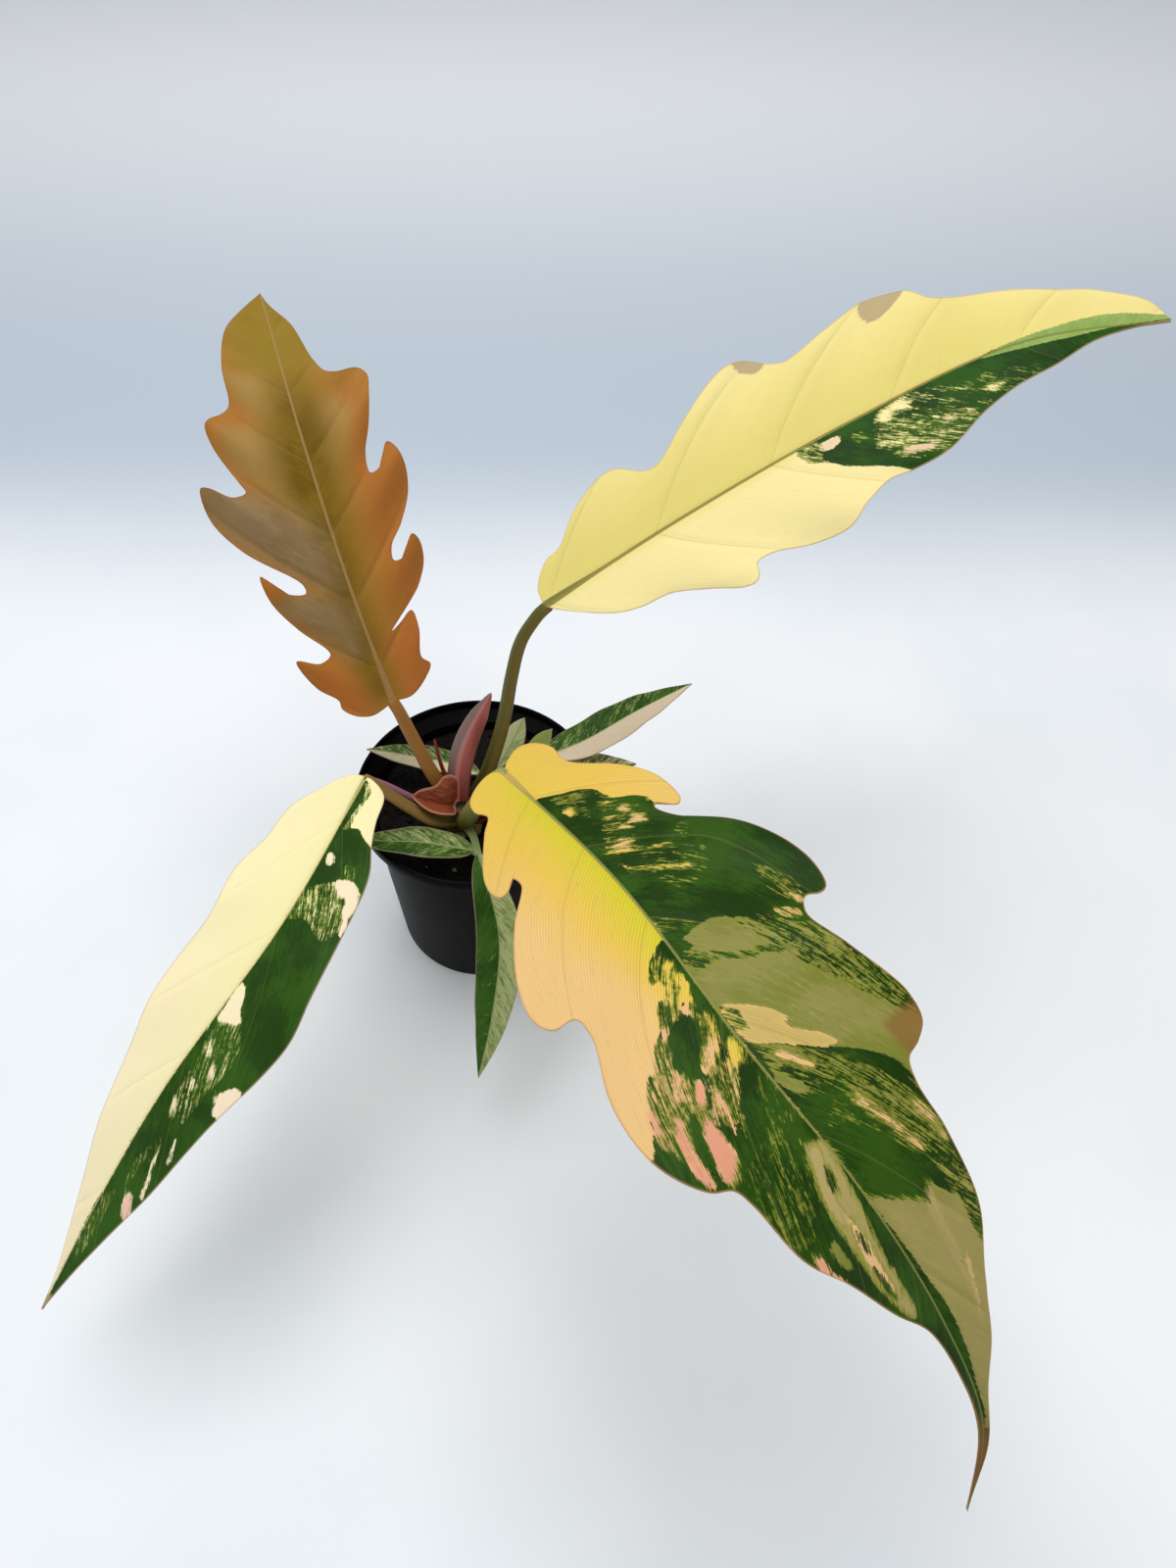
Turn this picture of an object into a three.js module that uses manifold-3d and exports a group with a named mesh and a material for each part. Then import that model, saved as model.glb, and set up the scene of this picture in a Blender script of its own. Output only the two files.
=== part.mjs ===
// A young variegated philodendron in a small black nursery pot.
// Four large leaves, one of them deeply lobed, and seven small ones stand on stalks round a short stem,
// with a rolled new leaf and a few bracts between them. The stem stands in a hole in the soil.
// Millimetres, +Z up. The origin is the centre of the pot's flat bottom, and the largest leaf hangs
// towards -Y. Every leaf has its own frame: along its midrib from the base, and across it, with the
// right-hand side, seen from above and looking towards the tip, positive.
import * as THREE from "three";
import { mergeVertices } from "three/addons/utils/BufferGeometryUtils.js";
import Module from "manifold-3d";

const wasm = await Module();
wasm.setup();

// Driving dimensions
const gap = 0.3; // between pieces that touch

const pot = {
  rimRadius: 44.5, // a 90 mm nursery pot
  height: 78.5,
  baseRadius: 34.3,
  wallRadius: 39.2, // where the wall meets the shoulder under the lip
  wall: 1.3,
  floor: 1.8,
  lipHeight: 4.4,
  shoulder: 2.6, // height of the flare between wall and lip
  rounding: 0.6,
  sides: 48,
  drainHoles: 6,
  drainRadius: 3.5,
  drainCircle: 22,
};

const soilBed = {
  level: 69, // 9.5 mm below the rim
  dome: 1.2, // higher in the middle
  lumps: 0.7,
  rings: 6,
};

const stemShape = {
  foot: [-3, -12, 48],
  top: [-4, -12, 83],
  footRadius: 5,
  soilRadius: 6.6,
  topRadius: 4.2,
  sides: 14,
};

const bladeThickness = 0.8;
const midribWidth = 1.5; // half of it, at the leaf's base
const midribDepth = 1.7; // how far it stands out underneath
const midribGroove = 0.2;
const rootSpacing = 0.2; // veins start on the midrib at multiples of this, one a side at each

// Large leaves: the midrib's course, the blade's form, and its margin from base to tip as points
// [along, across]. Lobes are drawn by their tips and the notches between them.
const caramelLeaf = {
  midrib: [[-27, 6, 117], [-41, 29, 152], [-57, 63, 189], [-73, 105, 213]],
  roll: [0, 0],
  fold: 0.1,
  droop: 0.0015,
  wave: { height: 2, length: 25, left: 1.57, right: 1.2, reach: 25 },
  sweep: 1,
  step: 5,
  left: [
    [-1.5, -4.5], [-2, -9], [0, -14], [4, -17.5], [7, -17.5], [14, -23], [25, -26.5],
    [21.5, -19], [23, -14.5], [34, -21.5], [45, -27], [53, -27.5], [45.5, -21], [44, -15],
    [47, -15], [62, -30], [74, -36.5], [83.5, -36.5], [83, -34], [78.5, -27.5], [79.5, -23],
    [83, -24], [97, -29], [102.5, -29], [105.5, -23.5], [108.5, -20], [120.5, -19],
    [133, -16], [141, -9.5],
  ],
  right: [
    [-0.5, 7], [3.5, 14], [7.5, 17.5], [11, 15], [21, 17.5], [27.5, 17.5], [24.5, 12], [23, 8.5],
    [30, 17.5], [35, 23], [43, 27.5], [50, 27.5], [53, 25.5], [46, 20], [46, 17], [51, 18],
    [57.5, 23.5], [68, 29.5], [77, 30.5], [85.5, 27], [77.5, 22], [76.5, 18.5], [83.5, 19],
    [92, 22.5], [102, 25.5], [110, 27], [114, 25], [113, 17], [114, 13.5], [119, 11],
    [134, 7], [143.5, 1.5],
  ],
};

const yellowLeaf = {
  midrib: [[27, 4, 164], [71, 18, 190], [120, 34, 214], [168, 48, 232], [213, 54, 237]],
  roll: [-18, -15],
  fold: 0.12,
  droop: 0.002,
  wave: { height: 1.5, length: 40, left: 0.6, right: 2.2, reach: 28 },
  sweep: 0.8,
  step: 5.5,
  left: [
    [1, -6.5], [7.5, -13], [13, -14], [23.5, -22], [37, -27.5], [41.5, -27], [48.5, -21],
    [52.5, -20], [65, -27], [79.5, -35.5], [86, -38], [91, -37.5], [98.5, -30.5], [102, -28.5],
    [117, -32], [131.5, -36], [141.5, -32.5], [146, -25.5], [151, -23], [163.5, -20.5],
    [178, -15.5], [190, -14], [204, -8],
  ],
  right: [
    [5, 5], [19, 16], [27, 19], [37, 20.5], [48, 26.5], [57.5, 32.5], [61, 33], [63, 31],
    [64, 27.5], [69, 26.5], [82, 30.5], [93, 32], [101, 28], [110, 24], [117, 24.5],
    [129.5, 24.5], [144, 18], [154, 15], [169, 12], [185, 4.5], [199, 0.9],
  ],
};

const marbledLeaf = {
  midrib: [
    [17, -50, 145], [51, -107, 169], [77, -153, 176], [102, -184, 168],
    [120, -205, 150], [131, -221, 129], [130, -234, 110],
  ],
  roll: [-2, 2],
  fold: 0.12,
  droop: 0.002,
  wave: { height: 1.6, length: 40, left: 0.5, right: 1.6, reach: 32 },
  sweep: 0.8,
  step: 5.5,
  left: [
    [-4.5, -2.5], [-9.5, -9.5], [-7.5, -14], [-1.5, -17], [10, -16.5], [25.5, -26], [40, -31.5],
    [49.5, -31.5], [51.5, -29], [47.5, -25], [49, -23.5], [57.5, -26], [67, -35.5], [79, -41.5],
    [91, -44.5], [97.5, -43.5], [98.5, -41], [97.5, -37.5], [101, -34.5], [106, -33],
    [119, -36], [138.5, -41], [146, -38.5], [149.5, -32.5], [151, -28], [156, -26],
    [166.5, -25.5], [174, -24], [185, -20.5], [197.5, -13.5], [208, -9], [219, -3], [235, -0.9],
  ],
  right: [
    [-3, 3], [0.5, 9], [9, 15.5], [15.5, 16.5], [19, 14.5], [27, 19], [45, 27.5], [54.5, 29],
    [58, 28], [57, 25.5], [52.5, 22], [56.5, 21.5], [71, 30.5], [87.5, 37], [100, 38],
    [104, 35.5], [104, 30], [109.5, 29], [122, 33], [134.5, 33.5], [141, 31.5], [145.5, 28],
    [148, 23.5], [152.5, 22], [167, 20.5], [176.5, 15], [188.5, 9.5], [198, 4], [214, 2],
    [235, 0.9],
  ],
};

const creamLeaf = {
  midrib: [[-35, -17, 103], [-54, -77, 101], [-83, -124, 85], [-100, -151, 68], [-118, -177, 44]],
  roll: [0, 0],
  fold: 0.15,
  droop: 0.003,
  wave: { height: 0.9, length: 45, left: 0, right: 1.5, reach: 20 },
  sweep: 0.8,
  step: 6.5,
  left: [
    [1.5, -4], [7, -10], [18.5, -12], [28, -14.5], [38.5, -18.5], [58, -20.5], [78, -24],
    [90, -26.5], [101.5, -25.5], [116, -23], [134, -18], [150, -14.5], [166, -9], [180, -4.5],
  ],
  right: [
    [1, 4.5], [4.5, 8], [11.5, 12.5], [21, 18], [35, 20.5], [43.5, 23], [50.5, 24], [70, 22],
    [88, 23], [101, 21.5], [116, 17.5], [137, 13], [159, 7], [181, 2],
  ],
};

// Stalks of the large leaves: the course of each from the stem to its blade, and its two radii
const caramelStalk = {
  course: [[-4, -10, 80], [-10, -8, 86], [-14.5, -5, 92], [-19, -1, 101], [-26.5, 6, 117]],
  radii: [2.8, 2.2],
};
const yellowStalk = {
  course: [
    [-2, -10, 80], [3.5, -5, 87], [8.5, -2, 101], [12.5, 0, 117],
    [15.5, 3, 134], [19, 5, 148], [26.5, 4, 163.5],
  ],
  radii: [2.9, 2.05],
};
const marbledStalk = {
  course: [[-3, -15, 76], [0, -20, 87], [6, -29, 108], [12, -40, 130], [16.5, -49, 144.5]],
  radii: [3.4, 2.5],
};
const creamStalk = {
  course: [[-6, -14, 76], [-13, -18.5, 81], [-21, -19, 89], [-29, -18.5, 97], [-34.5, -17, 102.5]],
  radii: [2.6, 1.9],
};

// Small leaves of the young plant, low round the stem: stalk, midrib, greatest width and its place
const smallLeaves = [
  {
    name: "small_leaf_right_back",
    colour: 0x5f8a55,
    stalk: [[-1, -11, 77], [12, -1, 82], [25, 8, 86]],
    midrib: [[25, 8, 86], [41, 16, 87.5], [59, 29, 89], [82, 48, 86]],
    width: 17,
    widest: 0.35,
  },
  {
    name: "small_leaf_right",
    colour: 0x4e7d45,
    stalk: [[-1, -13, 74], [10, -9, 79], [21, -3, 81]],
    midrib: [[21, -3, 81], [41, 5, 83], [60, 11, 80]],
    width: 15,
    widest: 0.45,
  },
  {
    name: "small_leaf_front",
    colour: 0x3f6f3a,
    stalk: [[-3, -14, 72], [1, -24, 80], [4, -35, 85]],
    midrib: [[4, -35, 85], [8, -48, 86], [12.5, -62, 71], [10, -79, 48], [5, -92, 27]],
    width: 16,
    widest: 0.45,
  },
  {
    name: "small_leaf_front_left",
    colour: 0x7d9a5f,
    stalk: [[-5, -15, 71], [-3, -24, 75], [2, -30, 78.5]],
    midrib: [[2, -30, 78.5], [-16, -29, 81.5], [-33, -29, 82], [-42, -27, 81]],
    width: 13,
    widest: 0.38,
  },
  {
    name: "small_leaf_left_back",
    colour: 0xb9c6a4,
    stalk: [[-4, -10, 73], [0, -1, 76], [2, 6, 78]],
    midrib: [[2, 6, 78], [-7, 9, 79.5], [-25, 12, 81], [-42, 15, 81]],
    width: 11.5,
    widest: 0.45,
  },
  {
    name: "small_leaf_back",
    colour: 0xa9bd92,
    stalk: [[-3, -10, 74], [3, -1, 77], [6.5, 5, 79]],
    midrib: [[6.5, 5, 79], [12.5, 11, 87], [18, 18, 97]],
    width: 9.5,
    widest: 0.6,
  },
  {
    name: "small_leaf_back_right",
    colour: 0x8fae6a,
    stalk: [[-2, -11, 74], [6, -4, 76], [14, 4, 77]],
    midrib: [[14, 4, 77], [20, 12, 80], [28, 20, 89]],
    width: 9,
    widest: 0.6,
  },
];
const smallStalkRadii = [1.7, 1.2];
const smallBlade = {
  roll: [0, 0],
  fold: 0.25,
  droop: 0.02,
  wave: { height: 0.3, length: 18, left: 0, right: 2, reach: 6 },
  sweep: 0.8,
  step: 5,
};

// Pieces at the heart of the plant
const spear = {
  course: [[-4.5, -11, 84], [-4.3, -4, 93], [-1.3, 3, 102], [7, 13, 115]],
  width: 9,
  depth: 6,
  keel: 0.35, // how far the folded edge stands out in front
};
const sheath = {
  midrib: [[-6, -14, 84], [-13, -15.5, 87.5], [-21, -14.5, 90]],
  roll: [25, 15],
  fold: 0.9,
  droop: 0.02,
  wave: { height: 0.5, length: 9, left: 0, right: 1, reach: 6 },
  sweep: 0.4,
  step: 2.5,
  left: [[1, -4], [5, -5.5], [11, -4], [15, -1.5]],
  right: [[-1, 5], [2, 8.5], [7, 8.5], [9.5, 5], [14, 2.5]],
};
const pinkStalk = {
  course: [[-7, -11, 77], [-14, -12.5, 82], [-21.5, -12.5, 87], [-28, -13, 93], [-34, -14, 99]],
  radii: [1.4, 0.9],
};
const driedTip = {
  course: [[-5, -8, 80], [-10, -3, 88], [-12.5, 1, 95], [-13.5, 4, 100]],
  radii: [1.1, 0.45],
};
const redScale = {
  midrib: [[1.5, -14, 75], [5, -16, 78.5], [8, -17, 83]],
  roll: [0, 0],
  fold: 0.6,
  droop: 0.03,
  wave: { height: 0, length: 10, left: 0, right: 0, reach: 4 },
  sweep: 0.4,
  step: 2.5,
  left: [[0.5, -2.5], [3, -3], [7, -1.5]],
  right: [[0.5, 2.5], [3, 3], [7, 1.5]],
};

// Solids
const vectors = (points) => points.map((p) => new THREE.Vector3(...p));

function solidOf(geometry) {
  const bare = new THREE.BufferGeometry();
  bare.setAttribute("position", geometry.getAttribute("position"));
  if (geometry.index) bare.setIndex(geometry.index);
  const merged = mergeVertices(bare, 1e-4);
  return new wasm.Manifold(
    new wasm.Mesh({
      numProp: 3,
      vertProperties: new Float32Array(merged.attributes.position.array),
      triVerts: new Uint32Array(merged.index.array),
    }),
  );
}

function geometryOf(solid) {
  const mesh = solid.getMesh();
  const geometry = new THREE.BufferGeometry();
  geometry.setAttribute("position", new THREE.BufferAttribute(mesh.vertProperties, 3));
  geometry.setIndex(new THREE.BufferAttribute(mesh.triVerts, 1));
  return geometry;
}

// What is left of a piece once those that it clasps are cut from it: its largest body.
function largestBody(solid) {
  const bodies = solid.decompose();
  return bodies.reduce((best, body) => (body.volume() > best.volume() ? body : best));
}

// Collects triangles on numbered points, and leaves out any that use a point twice.
class Skin {
  points = [];
  faces = [];
  add(point) {
    this.points.push(point.x, point.y, point.z);
    return this.points.length / 3 - 1;
  }
  face(a, b, c) {
    if (a !== b && b !== c && c !== a) this.faces.push(a, b, c);
  }
  solid() {
    const geometry = new THREE.BufferGeometry();
    geometry.setAttribute("position", new THREE.Float32BufferAttribute(this.points, 3));
    geometry.setIndex(this.faces);
    return solidOf(geometry);
  }
}

// A stalk: a grooved, tapered rod along a smooth course, its flat side towards the plant's middle.
function stalkSolid({ course, radii }, { sides = 10, spacing = 8, grow = 0 } = {}) {
  const curve = new THREE.CatmullRomCurve3(vectors(course));
  const steps = Math.max(4, Math.ceil(curve.getLength() / spacing));
  const outward = new THREE.Vector3(...course.at(-1)).sub(new THREE.Vector3(...course[0]));
  const inner = new THREE.Vector3(-outward.x, -outward.y, 0).normalize();
  inner.z = 1;
  const skin = new Skin();
  const rings = [];
  for (let i = 0; i <= steps; i++) {
    const along = curve.getTangentAt(i / steps);
    const top = inner.clone().addScaledVector(along, -inner.dot(along)).normalize();
    const side = along.clone().cross(top);
    const radius = THREE.MathUtils.lerp(radii[0], radii[1], i / steps) + grow;
    rings.push(
      Array.from({ length: sides }, (_, k) => {
        const turn = (2 * Math.PI * k) / sides;
        const reach = radius * (1 - 0.18 * Math.max(0, Math.cos(turn)) ** 4);
        const point = curve.getPointAt(i / steps);
        point.addScaledVector(top, reach * Math.cos(turn));
        return skin.add(point.addScaledVector(side, reach * Math.sin(turn)));
      }),
    );
  }
  closeRings(skin, rings);
  return skin.solid();
}

// Joins rings of points in order, and closes both ends with fans.
function closeRings(skin, rings) {
  const sides = rings[0].length;
  for (let i = 0; i + 1 < rings.length; i++)
    for (let k = 0; k < sides; k++) {
      const next = (k + 1) % sides;
      skin.face(rings[i][k], rings[i][next], rings[i + 1][k]);
      skin.face(rings[i][next], rings[i + 1][next], rings[i + 1][k]);
    }
  for (let k = 1; k + 1 < sides; k++) {
    skin.face(rings[0][0], rings[0][k + 1], rings[0][k]);
    skin.face(rings.at(-1)[0], rings.at(-1)[k], rings.at(-1)[k + 1]);
  }
}

// The blade's surface as a function of the distance along and across the midrib.
function bladeSurface(leaf) {
  const curve = new THREE.CatmullRomCurve3(vectors(leaf.midrib));
  const length = curve.getLength();
  const up = new THREE.Vector3(0, 0, 1);
  const { wave } = leaf;
  const rise = (x, y) => {
    const out = Math.abs(y);
    const phase = y < 0 ? wave.left : wave.right;
    const ripple = Math.sin((2 * Math.PI * (x - leaf.sweep * out)) / wave.length + phase);
    return (
      leaf.fold * out - leaf.droop * out ** 2 +
      wave.height * ripple * Math.min(1, out / wave.reach) ** 2
    );
  };
  const place = (x, y, lift) => {
    const share = THREE.MathUtils.clamp(x / length, 0, 1);
    const along = curve.getTangentAt(share);
    const roll = THREE.MathUtils.degToRad(THREE.MathUtils.lerp(...leaf.roll, share));
    const across = along.clone().cross(up).normalize().applyAxisAngle(along, -roll);
    const normal = across.clone().cross(along);
    return curve
      .getPointAt(share)
      .addScaledVector(along, x - share * length)
      .addScaledVector(across, y)
      .addScaledVector(normal, rise(x, y) + lift);
  };
  return { length, place };
}

// One side's veins: where each starts on the midrib, and where it ends on the margin. The line through
// two neighbouring ends meets the midrib at a root. Both veins start before it where the margin
// runs inwards and after it where it runs outwards, so that no lobe folds over.
function veinsOf(margin, leaf, length) {
  const course = [[0, 0], ...margin, [length, 0]].map(([x, y]) => new THREE.Vector3(x, y, 0));
  const curve = new THREE.CatmullRomCurve3(course);
  const last = course.length - 1;
  const ends = [];
  for (let i = 0; i < last; i++) {
    const parts = Math.ceil(course[i].distanceTo(course[i + 1]) / leaf.step);
    for (let k = 0; k < parts; k++) ends.push(curve.getPoint((i + k / parts) / last));
  }
  ends.shift();
  const low = ends.map(() => 1);
  const high = ends.map(() => Math.floor(length / rootSpacing) - 1);
  for (let i = 0; i + 1 < ends.length; i++) {
    const [a, b] = [ends[i], ends[i + 1]];
    const outwards = Math.abs(b.y) - Math.abs(a.y);
    const root = (a.x - (Math.abs(a.y) * (b.x - a.x)) / outwards) / rootSpacing;
    for (const j of [i, i + 1]) {
      if (outwards > 0) low[j] = Math.max(low[j], Math.ceil(root));
      if (outwards < 0) high[j] = Math.min(high[j], Math.floor(root));
    }
  }
  for (let i = ends.length - 2; i >= 0; i--) high[i] = Math.min(high[i], high[i + 1] - 1);
  let place = 0;
  return ends.map((end, i) => {
    const wish = Math.round((end.x - leaf.sweep * Math.abs(end.y)) / rootSpacing);
    place = Math.max(place + 1, Math.min(Math.max(wish, low[i]), high[i]));
    return { start: place * rootSpacing, end };
  });
}

// A blade: two alike skins either side of its middle surface, with the midrib standing out below.
function bladeSolid(leaf, { grow = 0, columns = [0.45, 1], rib = 1 } = {}) {
  const { length, place } = bladeSurface(leaf);
  const half = bladeThickness / 2 + grow;
  const skin = new Skin();
  const pair = (x, y, groove = 0, keel = 0) => [
    skin.add(place(x, y, half - groove)),
    skin.add(place(x, y, -half - keel)),
  ];
  const sides = [
    { sign: -1, veins: veinsOf(leaf.left, leaf, length) },
    { sign: 1, veins: veinsOf(leaf.right, leaf, length) },
  ];
  const stops = [0, length, ...sides.flatMap(({ veins }) => veins.map((v) => v.start))];
  const chain = [...new Set(stops)].sort((a, b) => a - b);
  const ribAt = (x) => rib * (1 - 0.75 * (x / length));
  const middle = chain.map((x) =>
    pair(x, 0, midribGroove * ribAt(x), midribDepth * ribAt(x)),
  );
  const tile = (a, b, c, sign) => {
    const [p, q] = sign > 0 ? [b, c] : [c, b];
    skin.face(a[0], q[0], p[0]);
    skin.face(a[1], p[1], q[1]);
  };
  for (const { sign, veins } of sides) {
    let before = Array(columns.length + 1).fill(middle[0]);
    let from = 0;
    for (const vein of [...veins, null]) {
      const to = vein ? chain.indexOf(vein.start) : chain.length - 1;
      const row = vein ? rowOf(vein) : Array(columns.length + 1).fill(middle[to]);
      const hub = from === 0 && before[0] === middle[0] ? row[0] : before[0];
      for (let k = from; k < to; k++) tile(middle[k], middle[k + 1], hub, sign);
      tile(hub === row[0] ? middle[from] : middle[to], row[0], before[0], sign);
      for (let k = 0; k < columns.length; k++) {
        tile(before[k], row[k], row[k + 1], sign);
        tile(before[k], row[k + 1], before[k + 1], sign);
      }
      closeMargin(before.at(-1), row.at(-1), sign);
      before = row;
      from = to;
    }
  }
  return skin.solid();

  function rowOf({ start, end }) {
    const reach = Math.hypot(end.x - start, end.y);
    const ribEdge = Math.min((midribWidth * ribAt(start)) / reach, 0.3);
    const growth = 1 + grow / reach;
    return [ribEdge, ...columns.map((share) => share * growth)].map((share) =>
      pair(start + (end.x - start) * share, end.y * share),
    );
  }

  function closeMargin(a, b, sign) {
    const [p, q] = sign > 0 ? [a, b] : [b, a];
    skin.face(p[0], q[1], q[0]);
    skin.face(p[0], p[1], q[1]);
  }
}

// The margin of a small lance-shaped leaf: points of a smooth curve, widest at the given share.
function lanceMargin(length, width, widest, sign) {
  const rise = widest / (1 - widest);
  const peak = widest ** rise * (1 - widest);
  const shares = [0.05, 0.15, 0.3, 0.5, 0.7, 0.85, 0.95];
  return shares.map((share) => [
    share * length,
    (sign * (width / 2) * (share ** rise * (1 - share))) / peak,
  ]);
}

// Pot, soil and stem
function potSolid() {
  const { rimRadius, height, baseRadius, wallRadius, wall, floor, rounding } = pot;
  const lipFoot = height - pot.lipHeight;
  const wallTop = lipFoot - pot.shoulder;
  const profile = [
    [0, 0],
    [baseRadius - rounding, 0],
    [baseRadius, rounding],
    [wallRadius, wallTop],
    [rimRadius - rounding, lipFoot],
    [rimRadius, lipFoot + rounding],
    [rimRadius, height - rounding],
    [rimRadius - rounding, height],
    [rimRadius - wall, height],
    [rimRadius - wall - rounding / 2, height - rounding],
    [rimRadius - wall - rounding / 2, lipFoot + wall],
    [wallRadius - wall, wallTop + wall],
    [baseRadius - wall, floor],
    [0, floor],
  ].map(([r, z]) => new THREE.Vector2(r, z));
  let solid = solidOf(upright(new THREE.LatheGeometry(profile, pot.sides)));
  for (let i = 0; i < pot.drainHoles; i++) {
    const turn = (2 * Math.PI * i) / pot.drainHoles;
    const hole = new THREE.CylinderGeometry(pot.drainRadius, pot.drainRadius, 3 * floor, 10);
    hole.rotateX(Math.PI / 2);
    hole.translate(pot.drainCircle * Math.cos(turn), pot.drainCircle * Math.sin(turn), 0);
    solid = solid.subtract(solidOf(hole));
  }
  return solid;
}

// A lathe turns about Y; this stands it on Z.
function upright(geometry) {
  return geometry.rotateX(Math.PI / 2);
}

function soilSolid(stem) {
  const { baseRadius, wallRadius, wall, floor } = pot;
  const { level, dome, lumps, rings } = soilBed;
  const bottom = floor + gap;
  const slope = (wallRadius - baseRadius) / (pot.height - pot.lipHeight - pot.shoulder);
  const radiusAt = (z) => baseRadius - wall - gap - 0.2 + slope * (z - floor);
  const profile = [[0, bottom], [radiusAt(bottom), bottom]];
  for (let i = rings; i >= 0; i--) profile.push([(radiusAt(level) * i) / rings, level]);
  const geometry = upright(
    new THREE.LatheGeometry(profile.map(([r, z]) => new THREE.Vector2(r, z)), pot.sides / 2),
  );
  const place = geometry.getAttribute("position");
  for (let i = 0; i < place.count; i++) {
    if (place.getZ(i) < level - 1) continue;
    const x = place.getX(i);
    const y = place.getY(i);
    const inward = 1 - Math.hypot(x, y) / radiusAt(level);
    const lump = Math.sin(0.31 * x + 1.3) * Math.cos(0.27 * y) + Math.sin(0.22 * (x + y));
    place.setZ(i, level + dome * Math.min(1, 1.6 * inward) + lumps * lump * Math.min(1, 3 * inward));
  }
  return solidOf(geometry).subtract(stem);
}

function stemSolid(grow = 0) {
  const { foot, top, footRadius, soilRadius, topRadius, sides } = stemShape;
  const axis = new THREE.LineCurve3(new THREE.Vector3(...foot), new THREE.Vector3(...top));
  const levels = [0, 0.3, 0.6, 0.75, 0.88, 1];
  const radii = [footRadius, soilRadius, soilRadius, 6.1, 5.4, topRadius];
  const skin = new Skin();
  const rings = levels.map((share, i) => {
    const centre = axis.getPoint(share);
    centre.z += grow * Math.sign(share - 0.5) * (share === 0 || share === 1 ? 1 : 0);
    return Array.from({ length: sides }, (_, k) => {
      const turn = (2 * Math.PI * k) / sides;
      const reach = radii[i] * (1 + 0.05 * Math.sin(3 * turn + i)) + grow;
      return skin.add(
        new THREE.Vector3(reach * Math.cos(turn), reach * Math.sin(turn), 0).add(centre),
      );
    });
  });
  closeRings(skin, rings);
  return skin.solid();
}

// The rolled new leaf: a pointed lens with a folded edge in front
function spearSolid(grow = 0) {
  const curve = new THREE.CatmullRomCurve3(vectors(spear.course));
  const steps = 9;
  const sides = 12;
  const skin = new Skin();
  const across = new THREE.Vector3(1, -0.15, 0).normalize();
  const rings = [];
  for (let i = 0; i <= steps; i++) {
    const share = i / steps;
    const along = curve.getTangentAt(share);
    const back = across.clone().cross(along).normalize().negate();
    const side = along.clone().cross(back).negate();
    const swell = 0.42 + 0.58 * Math.sin(Math.PI * Math.min(1, 0.18 + 0.8 * share));
    const body = swell * Math.min(1, 2.6 * (1 - share) + 0.12);
    rings.push(
      Array.from({ length: sides }, (_, k) => {
        const turn = (2 * Math.PI * k) / sides;
        const front = Math.max(0, -Math.sin(turn));
        const deep = (spear.depth / 2) * (1 + spear.keel * front ** 3);
        const point = curve.getPointAt(share);
        point.addScaledVector(side, ((spear.width / 2) * body + grow) * Math.cos(turn));
        return skin.add(point.addScaledVector(back, (deep * body + grow) * Math.sin(turn)));
      }),
    );
  }
  closeRings(skin, rings);
  return skin.solid();
}

// Assembly: each new piece gives way to those already there, with the gap between them
const plant = new THREE.Group();
const taken = [];

function place(name, solid, colour, roughness, room) {
  let left = solid;
  for (const other of taken) left = left.subtract(other);
  const material = new THREE.MeshStandardMaterial({ color: colour, roughness, metalness: 0 });
  const mesh = new THREE.Mesh(geometryOf(largestBody(left)), material);
  mesh.name = name;
  plant.add(mesh);
  if (room) taken.push(room);
}

place("pot", potSolid(), 0x14161a, 0.45);
place("soil", soilSolid(stemSolid(gap)), 0x17120e, 0.95);
place("stem", stemSolid(), 0x5d5a2c, 0.6, stemSolid(gap));

const largeLeaves = [
  { kind: "caramel", leaf: caramelLeaf, stalk: caramelStalk, blade: 0xb0702e, petiole: 0xa0773a },
  { kind: "yellow", leaf: yellowLeaf, stalk: yellowStalk, blade: 0xecdf88, petiole: 0x6b6a2c },
  { kind: "marbled", leaf: marbledLeaf, stalk: marbledStalk, blade: 0x9aa85c, petiole: 0x7a7636 },
  { kind: "cream", leaf: creamLeaf, stalk: creamStalk, blade: 0xf6eab4, petiole: 0x8a7434 },
];
for (const { kind, leaf, blade } of largeLeaves)
  place("blade_" + kind, bladeSolid(leaf), blade, 0.45, bladeSolid(leaf, { grow: gap }));
for (const { kind, stalk, petiole } of largeLeaves)
  place("petiole_" + kind, stalkSolid(stalk), petiole, 0.45, stalkSolid(stalk, { grow: gap }));

place("new_leaf", spearSolid(), 0xa86a62, 0.45, spearSolid(gap));
const bractForm = { columns: [1], rib: 0.4 };
place(
  "sheath",
  bladeSolid(sheath, bractForm),
  0xc26a48,
  0.5,
  bladeSolid(sheath, { ...bractForm, grow: gap }),
);
const thin = { sides: 6, spacing: 5 };
place("pink_stalk", stalkSolid(pinkStalk, thin), 0xc06a80, 0.5, stalkSolid(pinkStalk, { ...thin, grow: gap }));
place("dried_tip", stalkSolid(driedTip, thin), 0x8a3a22, 0.7, stalkSolid(driedTip, { ...thin, grow: gap }));
place("red_scale", bladeSolid(redScale, bractForm), 0x6b1f22, 0.6, bladeSolid(redScale, { ...bractForm, grow: gap }));

for (const { name, colour, stalk, midrib, width, widest } of smallLeaves) {
  const length = new THREE.CatmullRomCurve3(vectors(midrib)).getLength();
  const leaf = {
    ...smallBlade,
    midrib,
    left: lanceMargin(length, width, widest, -1),
    right: lanceMargin(length, width, widest, 1),
  };
  const form = { sides: 7, spacing: 7 };
  const make = (grow) =>
    bladeSolid(leaf, { grow, columns: [1], rib: 0.5 }).add(
      stalkSolid({ course: stalk, radii: smallStalkRadii }, { ...form, grow }),
    );
  place(name, make(0), colour, 0.5, make(gap));
}

export default plant;
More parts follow.
